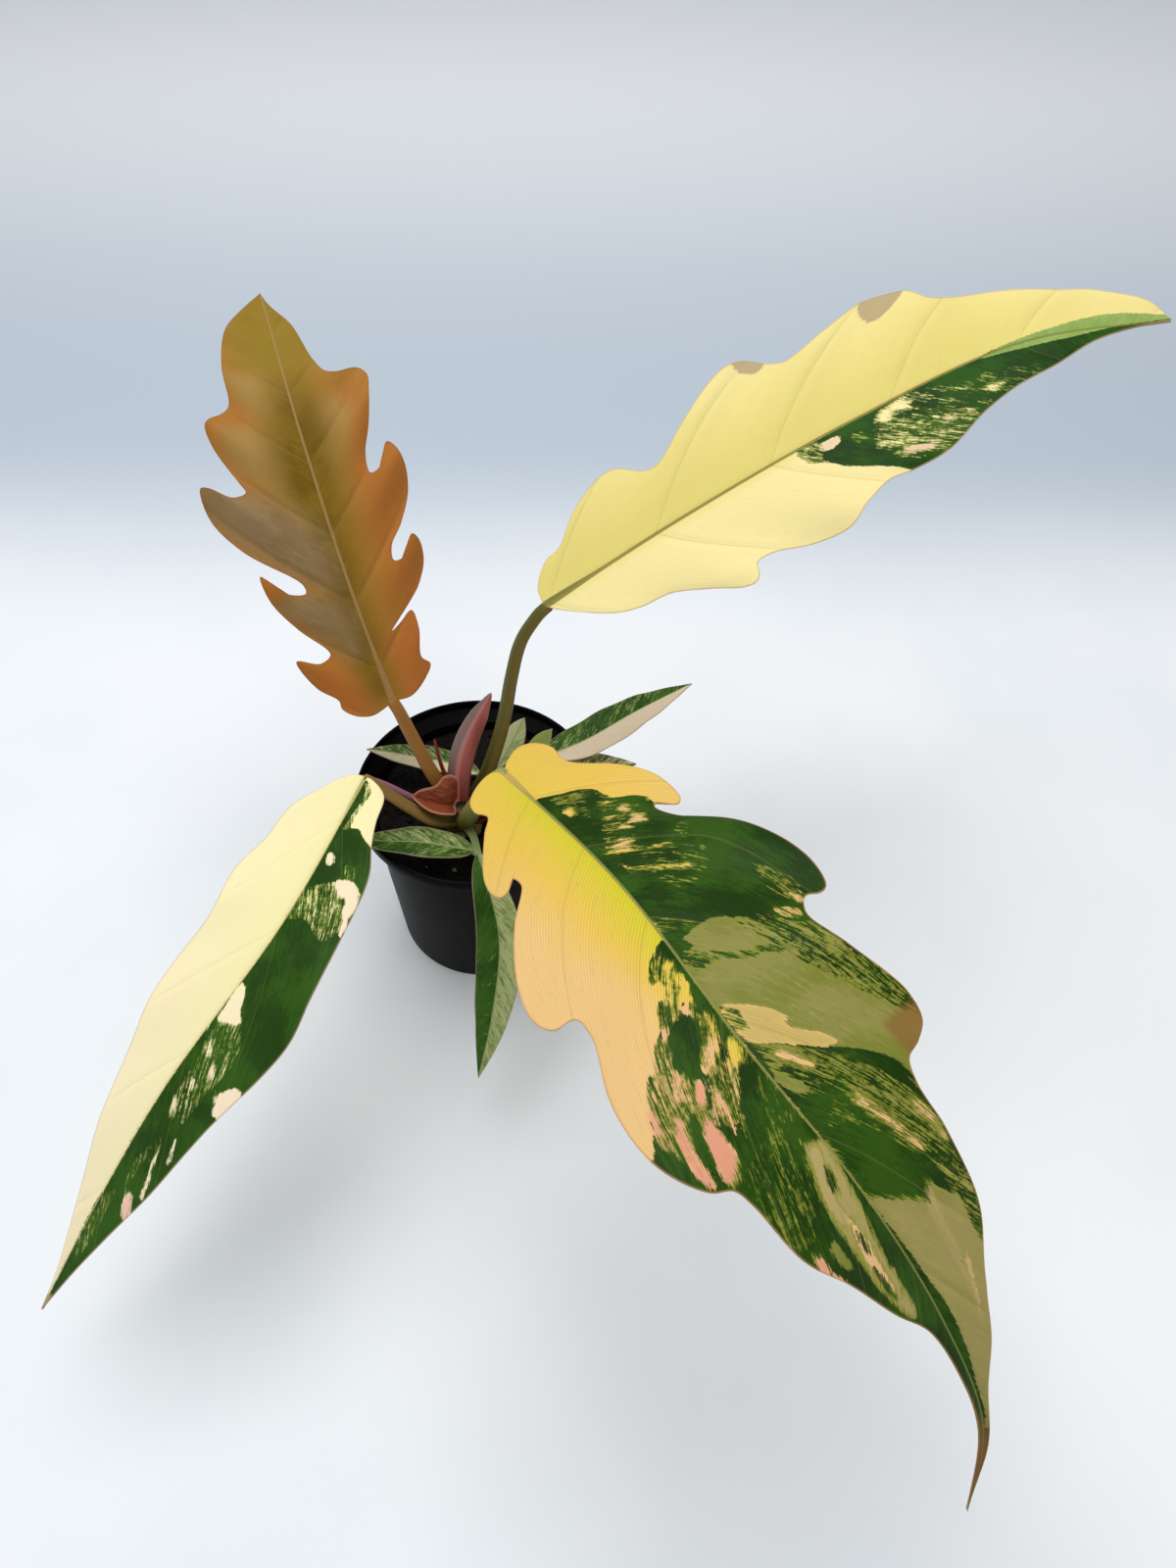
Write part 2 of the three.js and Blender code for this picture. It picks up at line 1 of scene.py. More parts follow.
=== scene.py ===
import math
import random
import bpy
import numpy as np
from mathutils import Matrix, Vector, noise


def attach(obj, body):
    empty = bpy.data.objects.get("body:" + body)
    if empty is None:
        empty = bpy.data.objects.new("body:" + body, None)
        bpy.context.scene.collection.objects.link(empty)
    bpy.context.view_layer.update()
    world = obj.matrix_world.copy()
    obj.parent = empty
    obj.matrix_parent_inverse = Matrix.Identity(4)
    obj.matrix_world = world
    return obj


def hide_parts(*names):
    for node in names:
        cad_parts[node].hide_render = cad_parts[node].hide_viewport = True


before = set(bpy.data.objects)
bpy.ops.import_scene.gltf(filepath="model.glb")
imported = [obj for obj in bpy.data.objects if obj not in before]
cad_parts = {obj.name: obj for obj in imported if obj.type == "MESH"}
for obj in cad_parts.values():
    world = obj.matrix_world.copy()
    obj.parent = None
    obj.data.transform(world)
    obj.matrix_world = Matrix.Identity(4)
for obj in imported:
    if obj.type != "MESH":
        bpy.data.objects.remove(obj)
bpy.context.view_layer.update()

mm = 0.001
random.seed(11)
print("frame loaded:", len(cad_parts), "nodes")


# Camera: where the picture was taken from, looking down on the plant
camera = {"place": (41.949, -278.774, 416.362), "pitch": 50.264, "roll": 1.0756, "lens": 27.045}


def makeCamera():
    pitch = math.radians(camera["pitch"])
    roll = math.radians(camera["roll"])
    level = Vector((0, math.sin(pitch), math.cos(pitch)))
    side = Vector((1, 0, 0))
    right = math.cos(roll) * side + math.sin(roll) * level
    up = math.cos(roll) * level - math.sin(roll) * side
    ahead = Vector((0, math.cos(pitch), -math.sin(pitch)))
    turn = Matrix((right, up, -ahead)).transposed().to_4x4()
    data = bpy.data.cameras.new("camera")
    data.lens = camera["lens"]
    data.sensor_width = 36
    data.clip_start = 0.01
    data.clip_end = 30
    made = bpy.data.objects.new("camera", data)
    made.matrix_world = Matrix.Translation(Vector(camera["place"]) * mm) @ turn
    bpy.context.collection.objects.link(made)
    bpy.context.scene.camera = made


# Light: a large soft box above, a fill from the left, a weaker one from the right and the pale room
light = {
    "room": ("#E0E8F0", 0.5),
    "boxes": [
        {"place": (-120, 250, 1250), "aim": (20, -60, 90), "size": 900, "watts": 9.5, "colour": "#FFFFFF"},
        {"place": (-1000, -500, 650), "aim": (0, -60, 90), "size": 700, "watts": 2.6, "colour": "#F4F8FF"},
        {"place": (900, -350, 500), "aim": (40, -80, 90), "size": 500, "watts": 1.4, "colour": "#FFF6EA"},
    ],
}


# A colour as a painter writes it, for a linear socket
def ink(text):
    parts = [int(text[i:i + 2], 16) / 255 for i in (1, 3, 5)]
    return (*[c / 12.92 if c <= 0.04045 else ((c + 0.055) / 1.055) ** 2.4 for c in parts], 1.0)


def makeLights():
    world = bpy.data.worlds.new("room")
    world.use_nodes = True
    back = world.node_tree.nodes["Background"]
    back.inputs["Color"].default_value = ink(light["room"][0])
    back.inputs["Strength"].default_value = light["room"][1]
    bpy.context.scene.world = world
    for i, box in enumerate(light["boxes"]):
        data = bpy.data.lights.new("softbox_%d" % i, "AREA")
        data.shape = "SQUARE"
        data.size = box["size"] * mm
        data.energy = box["watts"]
        data.color = ink(box["colour"])[:3]
        lamp = bpy.data.objects.new(data.name, data)
        aim = (Vector(box["aim"]) - Vector(box["place"])).to_track_quat("-Z", "Y")
        lamp.matrix_world = Matrix.Translation(Vector(box["place"]) * mm) @ aim.to_matrix().to_4x4()
        bpy.context.collection.objects.link(lamp)
    bpy.context.scene.view_settings.view_transform = "Standard"


# Shorthands for building a material's nodes
def feed(tree, socket, value):
    if isinstance(value, bpy.types.NodeSocket):
        tree.links.new(value, socket)
    else:
        socket.default_value = value


def put(tree, kind, inputs=None, **settings):
    made = tree.nodes.new("ShaderNode" + kind)
    for name, value in settings.items():
        setattr(made, name, value)
    for name, value in (inputs or {}).items():
        feed(tree, made.inputs[name], value)
    return made


def calc(tree, operation, *values, clamp=False):
    made = put(tree, "Math", operation=operation, use_clamp=clamp)
    for socket, value in zip(made.inputs, values):
        feed(tree, socket, value)
    return made.outputs[0]


# 0 below low, 1 above high, smooth between them
def ramp(tree, value, low, high):
    made = put(tree, "MapRange", {"Value": value}, interpolation_type="SMOOTHSTEP")
    feed(tree, made.inputs["From Min"], low)
    feed(tree, made.inputs["From Max"], high)
    return made.outputs["Result"]


def blendInks(tree, share, under, over, mode="MIX"):
    made = put(tree, "Mix", data_type="RGBA", blend_type=mode)
    feed(tree, made.inputs[0], share)
    feed(tree, made.inputs[6], under)
    feed(tree, made.inputs[7], over)
    return made.outputs[2]


# Lays an ink over a colour where the mask is, at a strength
def wash(tree, colour, mask, text, strength=1.0):
    share = mask if strength == 1.0 else calc(tree, "MULTIPLY", mask, strength)
    return blendInks(tree, share, colour, ink(text))


# A leaf's or stalk's own coordinates: three numbers, a fourth, and the first three as a vector
def readLayer(tree, name):
    layer = put(tree, "Attribute", attribute_name=name).outputs
    parts = put(tree, "SeparateXYZ", {0: layer["Vector"]}).outputs
    return [*parts, layer["Alpha"], layer["Vector"]]


def vector(tree, x, y, z):
    made = put(tree, "CombineXYZ", {"X": x, "Y": y, "Z": z})
    return made.outputs[0]


def cloud(tree, place, scale, detail=2.0, roughness=0.55):
    inputs = {"Vector": place, "Scale": scale, "Detail": detail, "Roughness": roughness}
    made = put(tree, "TexNoise", inputs)
    return made.outputs["Fac"]


def newGroup(name, inputs, outputs):
    group = bpy.data.node_groups.new(name, "ShaderNodeTree")
    for label, kind, value in inputs:
        socket = group.interface.new_socket(label, in_out="INPUT", socket_type="NodeSocket" + kind)
        if value is not None:
            socket.default_value = value
    for label, kind in outputs:
        group.interface.new_socket(label, in_out="OUTPUT", socket_type="NodeSocket" + kind)
    entry = group.nodes.new("NodeGroupInput")
    leave = group.nodes.new("NodeGroupOutput")
    return group, entry.outputs, leave.inputs


def useGroup(tree, group, inputs):
    made = tree.nodes.new("ShaderNodeGroup")
    made.node_tree = group
    for name, value in inputs.items():
        feed(tree, made.inputs[name], value)
    return made.outputs


def newMaterial(name):
    made = bpy.data.materials.new(name)
    made.use_nodes = True
    tree = made.node_tree
    return made, tree, tree.nodes["Principled BSDF"].inputs


# How each kind of surface catches the light: its specular level, and its relief's strength and depth
sheens = {
    "leaf": {"specular": 0.09, "strength": 0.5, "depth": 0.12},
    "stalk": {"specular": 0.2, "strength": 0.35, "depth": 0.3},
    "newLeaf": {"specular": 0.2, "strength": 0.3, "depth": 0.3},
    "bract": {"specular": 0.2, "strength": 0.4, "depth": 0.3},
    "pot": {"specular": 0.04, "strength": 0.12, "depth": 0.2},
    "soil": {"specular": 0.15, "strength": 0.8, "depth": 0.8},
}


def finishSurface(tree, shader, kind, colour, roughness, height):
    sheen = sheens[kind]
    feed(tree, shader["Base Color"], colour)
    feed(tree, shader["Roughness"], roughness)
    shader["Specular IOR Level"].default_value = sheen["specular"]
    bump = {"Height": height, "Strength": sheen["strength"], "Distance": sheen["depth"] * mm}
    feed(tree, shader["Normal"], put(tree, "Bump", bump).outputs[0])


# Scales of a leaf's grain for each mm, in two directions where it is streaky, and how strong each kind is
grainForm = {
    "broad": (0.5, 0.075), "broadSpread": 2.7, "fine": (2.1, 0.26), "fineSpread": 3.4,
    "crumb": 0.9, "crumbSpread": 1.5, "cloud": 0.06, "shiver": 0.15, "shiverSpread": 3.0,
    "veinletSpacing": 1.25, "sideVeinBounds": (0.15, 0.7),
    "otherHalf": 17.3,     # moves the noise on, so that the two halves differ
}


# Grain of a leaf, from its vein coordinates: ragged streaks, fine parallel veins and side veins.
# Grain holds the distance across the veins and along them, and Place that along and across the midrib.
def makeLeafGrain():
    inputs = [
        ("Grain", "Vector", None), ("Place", "Vector", None),
        ("Side vein spacing", "Float", 33.0), ("Side vein start", "Float", 18.0),
    ]
    outputs = [(name, "Float") for name in ("Streak", "Cloud", "Veinlet", "Side vein", "Height")]
    group, given, out = newGroup("leafGrain", inputs, outputs)
    form = grainForm
    grain = put(group, "SeparateXYZ", {0: given["Grain"]}).outputs
    place = put(group, "SeparateXYZ", {0: given["Place"]}).outputs
    side = calc(group, "MULTIPLY", calc(group, "SIGN", place[1]), form["otherHalf"])

    def streaks(scales):
        scaled = [calc(group, "MULTIPLY", grain[i], scales[i]) for i in (0, 1)]
        return vector(group, *scaled, side)

    flat = vector(group, place[0], place[1], side)
    broad = calc(group, "SUBTRACT", cloud(group, streaks(form["broad"]), 1.0, 3.0, 0.6), 0.5)
    thin = calc(group, "SUBTRACT", cloud(group, streaks(form["fine"]), 1.0, 2.0, 0.6), 0.5)
    crumb = calc(group, "SUBTRACT", cloud(group, flat, form["crumb"], 2.0, 0.6), 0.5)
    streak = calc(group, "MULTIPLY", thin, form["fineSpread"])
    streak = calc(group, "MULTIPLY_ADD", broad, form["broadSpread"], streak)
    streak = calc(group, "MULTIPLY_ADD", crumb, form["crumbSpread"], streak)
    feed(group, out["Streak"], streak)
    feed(group, out["Cloud"], cloud(group, flat, form["cloud"], 3.0, 0.5))
    shiver = calc(group, "MULTIPLY", cloud(group, flat, form["shiver"], 1.0), form["shiverSpread"])
    turn = calc(group, "MULTIPLY_ADD", grain[0], 2 * math.pi / form["veinletSpacing"], shiver)
    veinlet = calc(group, "MULTIPLY_ADD", calc(group, "SINE", turn), 0.5, 0.5)
    feed(group, out["Veinlet"], veinlet)
    shift = calc(group, "SUBTRACT", grain[0], given["Side vein start"])
    away = calc(group, "PINGPONG", shift, calc(group, "MULTIPLY", given["Side vein spacing"], 0.5))
    sideVein = calc(group, "SUBTRACT", 1.0, ramp(group, away, *form["sideVeinBounds"]))
    feed(group, out["Side vein"], sideVein)
    height = calc(group, "MULTIPLY_ADD", veinlet, 0.35, calc(group, "MULTIPLY", sideVein, -1.0))
    height = calc(group, "MULTIPLY_ADD", cloud(group, flat, 0.8, 2.0), 0.6, height)
    feed(group, out["Height"], height)
    return group


leafGrain = makeLeafGrain()

# Each leaf's inks, and how soft the bounds between them are, in mm
leafInks = {
    "marbled": {
        "light": "#F0C858", "lime": "#DDD034", "warm": "#F3C88A", "pink": "#EEA084", "gold": "#8E9030",
        "tan": "#B09E62", "dark": "#1B3603", "darkCloud": "#31540C", "olive": "#7C8030",
        "oliveCloud": "#908A48", "rim": "#C58E62", "rib": "#8C8A4A", "foot": "#C2A05C", "ribWidth": 0.6,
        "soft": 0.16, "veinlet": 0.2, "freckle": 0.28, "sideVein": 0.16, "spacing": 33.0, "start": 18.0,
        "roughness": 0.42,
    },
    "yellow": {
        "light": "#EFDC84", "lime": "#DECD66", "warm": "#FCE9A6", "pink": "#EDC4A8", "gold": "#8E9A3C",
        "tan": "#B0A468", "dark": "#1A3A08", "darkCloud": "#2B5410", "olive": "#86A44E",
        "oliveCloud": "#9DB262", "rim": "#C8A070", "rib": "#857C3C", "foot": "#6E6A30", "ribWidth": 0.75,
        "soft": 0.16, "veinlet": 0.04, "freckle": 0.1, "sideVein": 0.1, "spacing": 40.0, "start": 42.0,
        "roughness": 0.45,
    },
    "cream": {
        "light": "#FFF3B6", "lime": "#F6EA98", "warm": "#FFEBC8", "pink": "#F4BFA8", "gold": "#8C9A38",
        "tan": "#B0A468", "dark": "#203F04", "darkCloud": "#315710", "olive": "#6E8A30",
        "oliveCloud": "#8AA046", "rim": "#C8A488", "rib": "#DCC98A", "foot": "#B0A860", "ribWidth": 0.4,
        "soft": 0.16, "veinlet": 0.03, "freckle": 0.05, "sideVein": 0.05, "spacing": 45.0, "start": 20.0,
        "roughness": 0.42,
    },
    "caramel": {
        "light": "#A8762E", "lime": "#94761A", "warm": "#B26C2C", "pink": "#BE6A32", "gold": "#9A7420",
        "tan": "#A8884A", "dark": "#705610", "darkCloud": "#84661A", "olive": "#8A704A",
        "oliveCloud": "#977C56", "rim": "#A0581E", "rib": "#A88456", "foot": "#A87C4E", "ribWidth": 0.65,
        "soft": 7.0, "veinlet": 0.04, "freckle": 0.3, "sideVein": 0.1, "spacing": 24.0, "start": 12.0,
        "roughness": 0.45,
    },
    "small": {
        "light": "#B6BC80", "lime": "#8E9E40", "warm": "#E4D6B4", "pink": "#DDB8A4", "gold": "#86964C",
        "tan": "#A8A878", "dark": "#27480E", "darkCloud": "#3C641C", "olive": "#7C9448",
        "oliveCloud": "#94A668", "rim": "#A88C7C", "rib": "#8CA060", "foot": "#9AA070", "ribWidth": 0.3,
        "soft": 1.1, "veinlet": 0.03, "freckle": 0.3, "sideVein": 0.08, "spacing": 14.0, "start": 6.0,
        "roughness": 0.45,
    },
}


# What all leaves share: washes with their inks and strengths, and the bounds that masks run between
leafLook = {
    "under": ("#8E9A72", 0.35), "dry": ("#B39A76", 0.85), "wet": ("#8A6234", 0.75), "veinlet": "#9A6A38",
    "gold": 0.75, "rib": 0.85, "rim": 0.6, "streakInCloud": 0.12,
    "cloudBounds": (0.36, 0.66), "goldBounds": (0.7, 0.15), "raggedBounds": (0.6, 1.1),
    "freckleBounds": (0.25, 1.1), "ribBounds": (-0.1, 0.25), "rimBounds": (0.1, 0.5),
    "dryBounds": (0.1, 0.6),
    "footLength": 26.0, "ribTaper": 0.0028,     # taper for each mm along the midrib
    "cloudRoughness": 0.1, "wetRoughness": -0.34, "underRoughness": 0.15,
}


# The layer leafPlace has the place along and across, the distance to the margin and 1 underneath.
# Marks has the depth in green and in olive, how ragged their bounds are, and pink, or tan below 0.
# Grain has the distances across and along the veins, lime, or a warm tint below 0, and wet, or dry below 0.
def makeLeafMaterial(kind):
    inks = leafInks[kind]
    look = leafLook
    made, tree, shader = newMaterial("leaf_" + kind)
    along, across, toMargin, below, place = readLayer(tree, "leafPlace")
    green, olive, amount, rosy = readLayer(tree, "marks")[:4]
    tint, damp, grain = readLayer(tree, "grain")[2:]
    inputs = {
        "Grain": grain, "Place": place,
        "Side vein spacing": inks["spacing"], "Side vein start": inks["start"],
    }
    texture = useGroup(tree, leafGrain, inputs)
    ragged = calc(tree, "MULTIPLY", texture["Streak"], amount)
    fields = [calc(tree, "ADD", depth, ragged) for depth in (green, olive)]
    greenMask, oliveMask = [ramp(tree, field, -inks["soft"], inks["soft"]) for field in fields]
    cloudy = calc(tree, "MULTIPLY_ADD", texture["Streak"], look["streakInCloud"], texture["Cloud"])
    cloudy = ramp(tree, cloudy, *look["cloudBounds"])
    # ragged bounds run through a golden green
    nearest = calc(tree, "MINIMUM", *[calc(tree, "ABSOLUTE", field) for field in fields])
    golden = calc(tree, "MULTIPLY", ramp(tree, amount, *look["raggedBounds"]), look["gold"])
    golden = calc(tree, "MULTIPLY", ramp(tree, nearest, *look["goldBounds"]), golden)
    colour = wash(tree, ink(inks["light"]), calc(tree, "MAXIMUM", tint, 0.0, clamp=True), inks["lime"])
    colour = wash(tree, colour, calc(tree, "MULTIPLY", tint, -1.0, clamp=True), inks["warm"])
    colour = wash(tree, colour, calc(tree, "MAXIMUM", rosy, 0.0), inks["pink"])
    lines = calc(tree, "MULTIPLY", texture["Veinlet"], inks["veinlet"])
    colour = blendInks(tree, lines, colour, ink(look["veinlet"]), "MULTIPLY")
    freckles = ramp(tree, texture["Streak"], *look["freckleBounds"])
    freckles = calc(tree, "MULTIPLY", freckles, inks["freckle"])
    tan = calc(tree, "ADD", calc(tree, "MULTIPLY", rosy, -1.0, clamp=True), freckles, clamp=True)
    colour = wash(tree, colour, tan, inks["tan"])
    dark = wash(tree, ink(inks["dark"]), cloudy, inks["darkCloud"])
    oliveInk = wash(tree, ink(inks["olive"]), cloudy, inks["oliveCloud"])
    oliveInk = wash(tree, oliveInk, tan, inks["tan"])
    colour = blendInks(tree, greenMask, colour, dark)
    colour = blendInks(tree, oliveMask, colour, oliveInk)
    colour = wash(tree, colour, golden, inks["gold"])
    colour = wash(tree, colour, texture["Side vein"], inks["rib"], inks["sideVein"])
    # the midrib narrows towards the tip, and runs out at it
    foot = ramp(tree, along, look["footLength"], 0.0)
    width = calc(tree, "MULTIPLY_ADD", along, -look["ribTaper"] * inks["ribWidth"], inks["ribWidth"])
    width = calc(tree, "MULTIPLY_ADD", foot, inks["ribWidth"], width)
    inside = calc(tree, "SUBTRACT", width, calc(tree, "ABSOLUTE", across))
    rib = calc(tree, "MULTIPLY", ramp(tree, inside, *look["ribBounds"]), look["rib"])
    colour = blendInks(tree, rib, colour, wash(tree, ink(inks["rib"]), foot, inks["foot"]))
    edge = calc(tree, "SUBTRACT", 1.0, ramp(tree, toMargin, *look["rimBounds"]))
    colour = wash(tree, colour, edge, inks["rim"], look["rim"])
    colour = wash(tree, colour, below, *look["under"])
    wet = calc(tree, "MAXIMUM", damp, 0.0)
    dry = calc(tree, "MULTIPLY", damp, -1.0, clamp=True)
    colour = wash(tree, colour, ramp(tree, dry, *look["dryBounds"]), *look["dry"])
    colour = wash(tree, colour, wet, *look["wet"])
    rough = calc(tree, "MULTIPLY_ADD", cloudy, look["cloudRoughness"], inks["roughness"])
    rough = calc(tree, "MULTIPLY_ADD", wet, look["wetRoughness"], rough)
    rough = calc(tree, "MULTIPLY_ADD", below, look["underRoughness"], rough)
    finishSurface(tree, shader, "leaf", colour, rough, texture["Height"])
    return made


# A centripetal Catmull-Rom curve through points, read by segment and share of it
def segmentPoints(points, i, share):
    p = np.asarray(points, float)
    before = p[i - 1] if i > 0 else 2 * p[0] - p[1]
    after = p[i + 2] if i + 2 < len(p) else 2 * p[-1] - p[-2]
    start, end = p[i], p[i + 1]
    pairs = ((before, start), (start, end), (end, after))
    d0, d1, d2 = [max(math.sqrt(np.linalg.norm(b - a)), 1e-4) for a, b in pairs]
    leave = ((start - before) / d0 - (end - before) / (d0 + d1) + (end - start) / d1) * d1
    arrive = ((end - start) / d1 - (after - start) / (d1 + d2) + (after - end) / d2) * d1
    t = np.asarray(share, float)[:, None]
    square = -3 * start + 3 * end - 2 * leave - arrive
    cube = 2 * start - 2 * end + leave + arrive
    return start + leave * t + square * t ** 2 + cube * t ** 3


def unit(vectors):
    return vectors / np.linalg.norm(vectors, axis=-1, keepdims=True)


# A smooth course in space, read by the distance along it
class Course:
    def __init__(self, points, parts=40):
        shares = np.arange(parts) / parts
        dense = [segmentPoints(points, i, shares) for i in range(len(points) - 1)]
        self.points = np.vstack(dense + [np.array(points[-1:], float)])
        steps = np.linalg.norm(np.diff(self.points, axis=0), axis=1)
        self.at = np.concatenate([[0], np.cumsum(steps)])
        self.length = self.at[-1]
        self.heading = unit(np.gradient(self.points, self.at, axis=0))

    def read(self, distance):
        distance = np.asarray(distance, float)
        inside = np.clip(distance, 0, self.length)
        place = np.stack([np.interp(inside, self.at, self.points[:, k]) for k in range(3)], -1)
        heading = unit(np.stack([np.interp(inside, self.at, self.heading[:, k]) for k in range(3)], -1))
        return place + heading * (distance - inside)[..., None], heading


# Places on a blade: along and across its midrib, and lifted off its middle surface
def bladePlaces(leaf, course, xy, lift):
    x, y = xy[:, 0], xy[:, 1]
    place, along = course.read(x)
    share = np.clip(x / course.length, 0, 1)
    roll = np.radians(leaf["roll"][0] + (leaf["roll"][1] - leaf["roll"][0]) * share)[:, None]
    level = unit(np.cross(along, (0, 0, 1)))
    across = np.cos(roll) * level + np.sin(roll) * np.cross(level, along)
    normal = np.cross(across, along)
    out = np.abs(y)
    wave = leaf["wave"]
    phase = np.where(y < 0, wave["left"], wave["right"])
    ripple = np.sin(2 * math.pi * (x - leaf["sweep"] * out) / wave["length"] + phase)
    rise = leaf["fold"] * out - leaf["droop"] * out ** 2
    rise = rise + wave["height"] * ripple * np.minimum(1, out / wave["reach"]) ** 2
    return place + across * y[:, None] + normal * (rise + lift)[:, None]


# Rows of a blade: where each starts on the midrib and where it ends on the margin. The line through
# two neighbouring ends meets the midrib at a root, and the rows keep clear of it, so no lobe folds over.
def bladeRows(margin, leaf, length):
    spacing = 0.2
    course = np.array([(0, 0)] + list(margin) + [(length, 0)], float)
    last = len(course) - 1

    def marginPoint(where):
        i = min(int(where), last - 1)
        return segmentPoints(course, i, [where - i])[0]

    stops = []
    for i in range(last):
        parts = math.ceil(np.linalg.norm(course[i + 1] - course[i]) / leaf["step"])
        stops += [i + k / parts for k in range(parts)]
    stops = stops[1:]
    ends = [marginPoint(where) for where in stops]
    low = [1] * len(ends)
    high = [math.floor(length / spacing) - 1] * len(ends)
    for i in range(len(ends) - 1):
        a, b = ends[i], ends[i + 1]
        outwards = abs(b[1]) - abs(a[1])
        if outwards == 0:
            continue
        root = (a[0] - abs(a[1]) * (b[0] - a[0]) / outwards) / spacing
        for j in (i, i + 1):
            if outwards > 0:
                low[j] = max(low[j], math.ceil(root))
            else:
                high[j] = min(high[j], math.floor(root))
    for i in range(len(ends) - 2, -1, -1):
        high[i] = min(high[i], high[i + 1] - 1)
    starts = []
    place = 0
    for i, end in enumerate(ends):
        wish = round((end[0] - leaf["sweep"] * abs(end[1])) / spacing)
        place = max(place + 1, min(max(wish, low[i]), high[i]))
        starts.append(place * spacing)
    knots = [(0.0, 0.0)] + list(zip(stops, starts)) + [(float(last), length)]
    rows = []
    for (fromStop, fromStart), (toStop, toStart) in zip(knots, knots[1:]):
        reach = np.linalg.norm(marginPoint(toStop) - marginPoint(fromStop))
        count = max(1, math.ceil(reach / leaf["rowStep"]))
        for k in range(count):
            share = k / count
            where = fromStop + (toStop - fromStop) * share
            rows.append((fromStart + (toStart - fromStart) * share, marginPoint(where)))
    return rows[1:]


farAway = 1e9     # further than any mark reaches


def distanceToEdge(xy, a, b):
    side = b - a
    share = np.clip(((xy - a) @ side) / max(side @ side, 1e-9), 0, 1)
    return np.hypot(*(xy - a - share[:, None] * side).T)


# How deep each point lies inside an outline, in mm, negative outside it
def depthInside(xy, outline):
    closest = np.full(len(xy), farAway)
    odd = np.zeros(len(xy), bool)
    for a, b in zip(outline, np.roll(outline, -1, axis=0)):
        closest = np.minimum(closest, distanceToEdge(xy, a, b))
        if a[1] != b[1]:
            crosses = (a[1] > xy[:, 1]) != (b[1] > xy[:, 1])
            odd ^= crosses & (xy[:, 0] < a[0] + (b[0] - a[0]) * (xy[:, 1] - a[1]) / (b[1] - a[1]))
    return np.where(odd, closest, -closest)


# A closed outline rounded through its points
def rounded(outline):
    p = [tuple(q) for q in outline]
    ring = p[-1:] + p + p[:2]
    shares = np.arange(4) / 4
    return np.vstack([segmentPoints(ring, i, shares) for i in range(1, len(p) + 1)])


def distanceToLine(xy, points):
    closest = np.full(len(xy), farAway)
    for a, b in zip(np.array(points[:-1], float), np.array(points[1:], float)):
        closest = np.minimum(closest, distanceToEdge(xy, a, b))
    return closest


# How marks are laid: the fields' limits and, where a mark gives none, its softness and width in mm
paint = {"clear": -8.0, "deepest": 8.0, "ragged": 0.35, "soft": 1.2, "lineWidth": 0.3, "noOlive": -6.0}


# Paints a leaf's marks in order. Green and olive are depths in mm, positive inside.
# The kinds green, olive and light lay down one ink. Mixed breaks green up with light, and mottled breaks
# olive up with green. Line draws a thin light streak, and tone only changes tint and pink. Wet darkens and
# glosses, and dry bleaches. Tint, pink and ragged stay as they were where a mark's facts don't name them.
def paintMarks(leaf, xy):
    count = len(xy)
    field = {
        "green": np.full(count, paint["clear"]),
        "olive": np.full(count, paint["clear"]),
        "ragged": np.full(count, leaf.get("ragged", paint["ragged"])),
        "pink": np.zeros(count),
        "tint": leaf["tint"](xy[:, 0], xy[:, 1]) if "tint" in leaf else np.zeros(count),
        "wet": np.zeros(count),
        "dry": np.zeros(count),
    }

    def towards(name, value, share):
        field[name] = field[name] + (value - field[name]) * share

    for kind, points, *values in leaf.get("marks", []):
        facts = values[0] if values else {}
        if kind == "line":
            depth = facts.get("width", paint["lineWidth"]) - distanceToLine(xy, points)
        else:
            depth = depthInside(xy, rounded(points))
        if "half" in facts:
            depth = np.minimum(depth, facts["half"] * xy[:, 1])
        inner = np.clip(depth / facts.get("soft", paint["soft"]) + 0.5, 0, 1)
        if kind == "green":
            field["green"] = np.maximum(field["green"], depth)
            field["olive"] = np.minimum(field["olive"], -depth)
        elif kind == "olive":
            field["olive"] = np.maximum(field["olive"], depth)
            field["green"] = np.maximum(field["green"], depth)
        elif kind in ("light", "line"):
            field["green"] = np.minimum(field["green"], -depth)
            field["olive"] = np.minimum(field["olive"], -depth)
        elif kind == "mixed":
            towards("green", facts["level"], inner)
            towards("olive", paint["noOlive"], inner)
            towards("ragged", facts["amount"], inner)
        elif kind == "mottled":
            towards("olive", facts["level"], inner)
            towards("ragged", facts["amount"], inner)
        elif kind in ("wet", "dry"):
            field[kind] = np.maximum(field[kind], inner)
        for name in ("tint", "pink", "ragged"):
            if name in facts:
                towards(name, facts[name], inner)
    for name in ("green", "olive"):
        field[name] = np.clip(field[name], paint["clear"], paint["deepest"])
    return field


bladeForm = {
    "thickness": 0.8,
    "edge": 0.36, "edgeReach": 0.15,     # thickness left at the margin, and how early it thins, as shares
    "midribWidth": 1.5, "midribDepth": 1.7, "midribGroove": 0.25,
    "midribTaper": 0.75, "midribLimit": 0.3,     # how much of its width it loses, and of a row it may take
    "midribSteps": [0.35, 0.7, 1.0],
    "veinDip": 1.8, "dipFrom": 1.2, "dipReach": 3,     # width of the dips, where they start, and over what
    "dipEnds": 5,     # they end over the last fifth of the way to the margin
}


# The midrib's size at a distance along it, as a share of the form's
def midribSize(x, length, rib):
    return rib * (1 - bladeForm["midribTaper"] * np.clip(x / length, 0, 1))


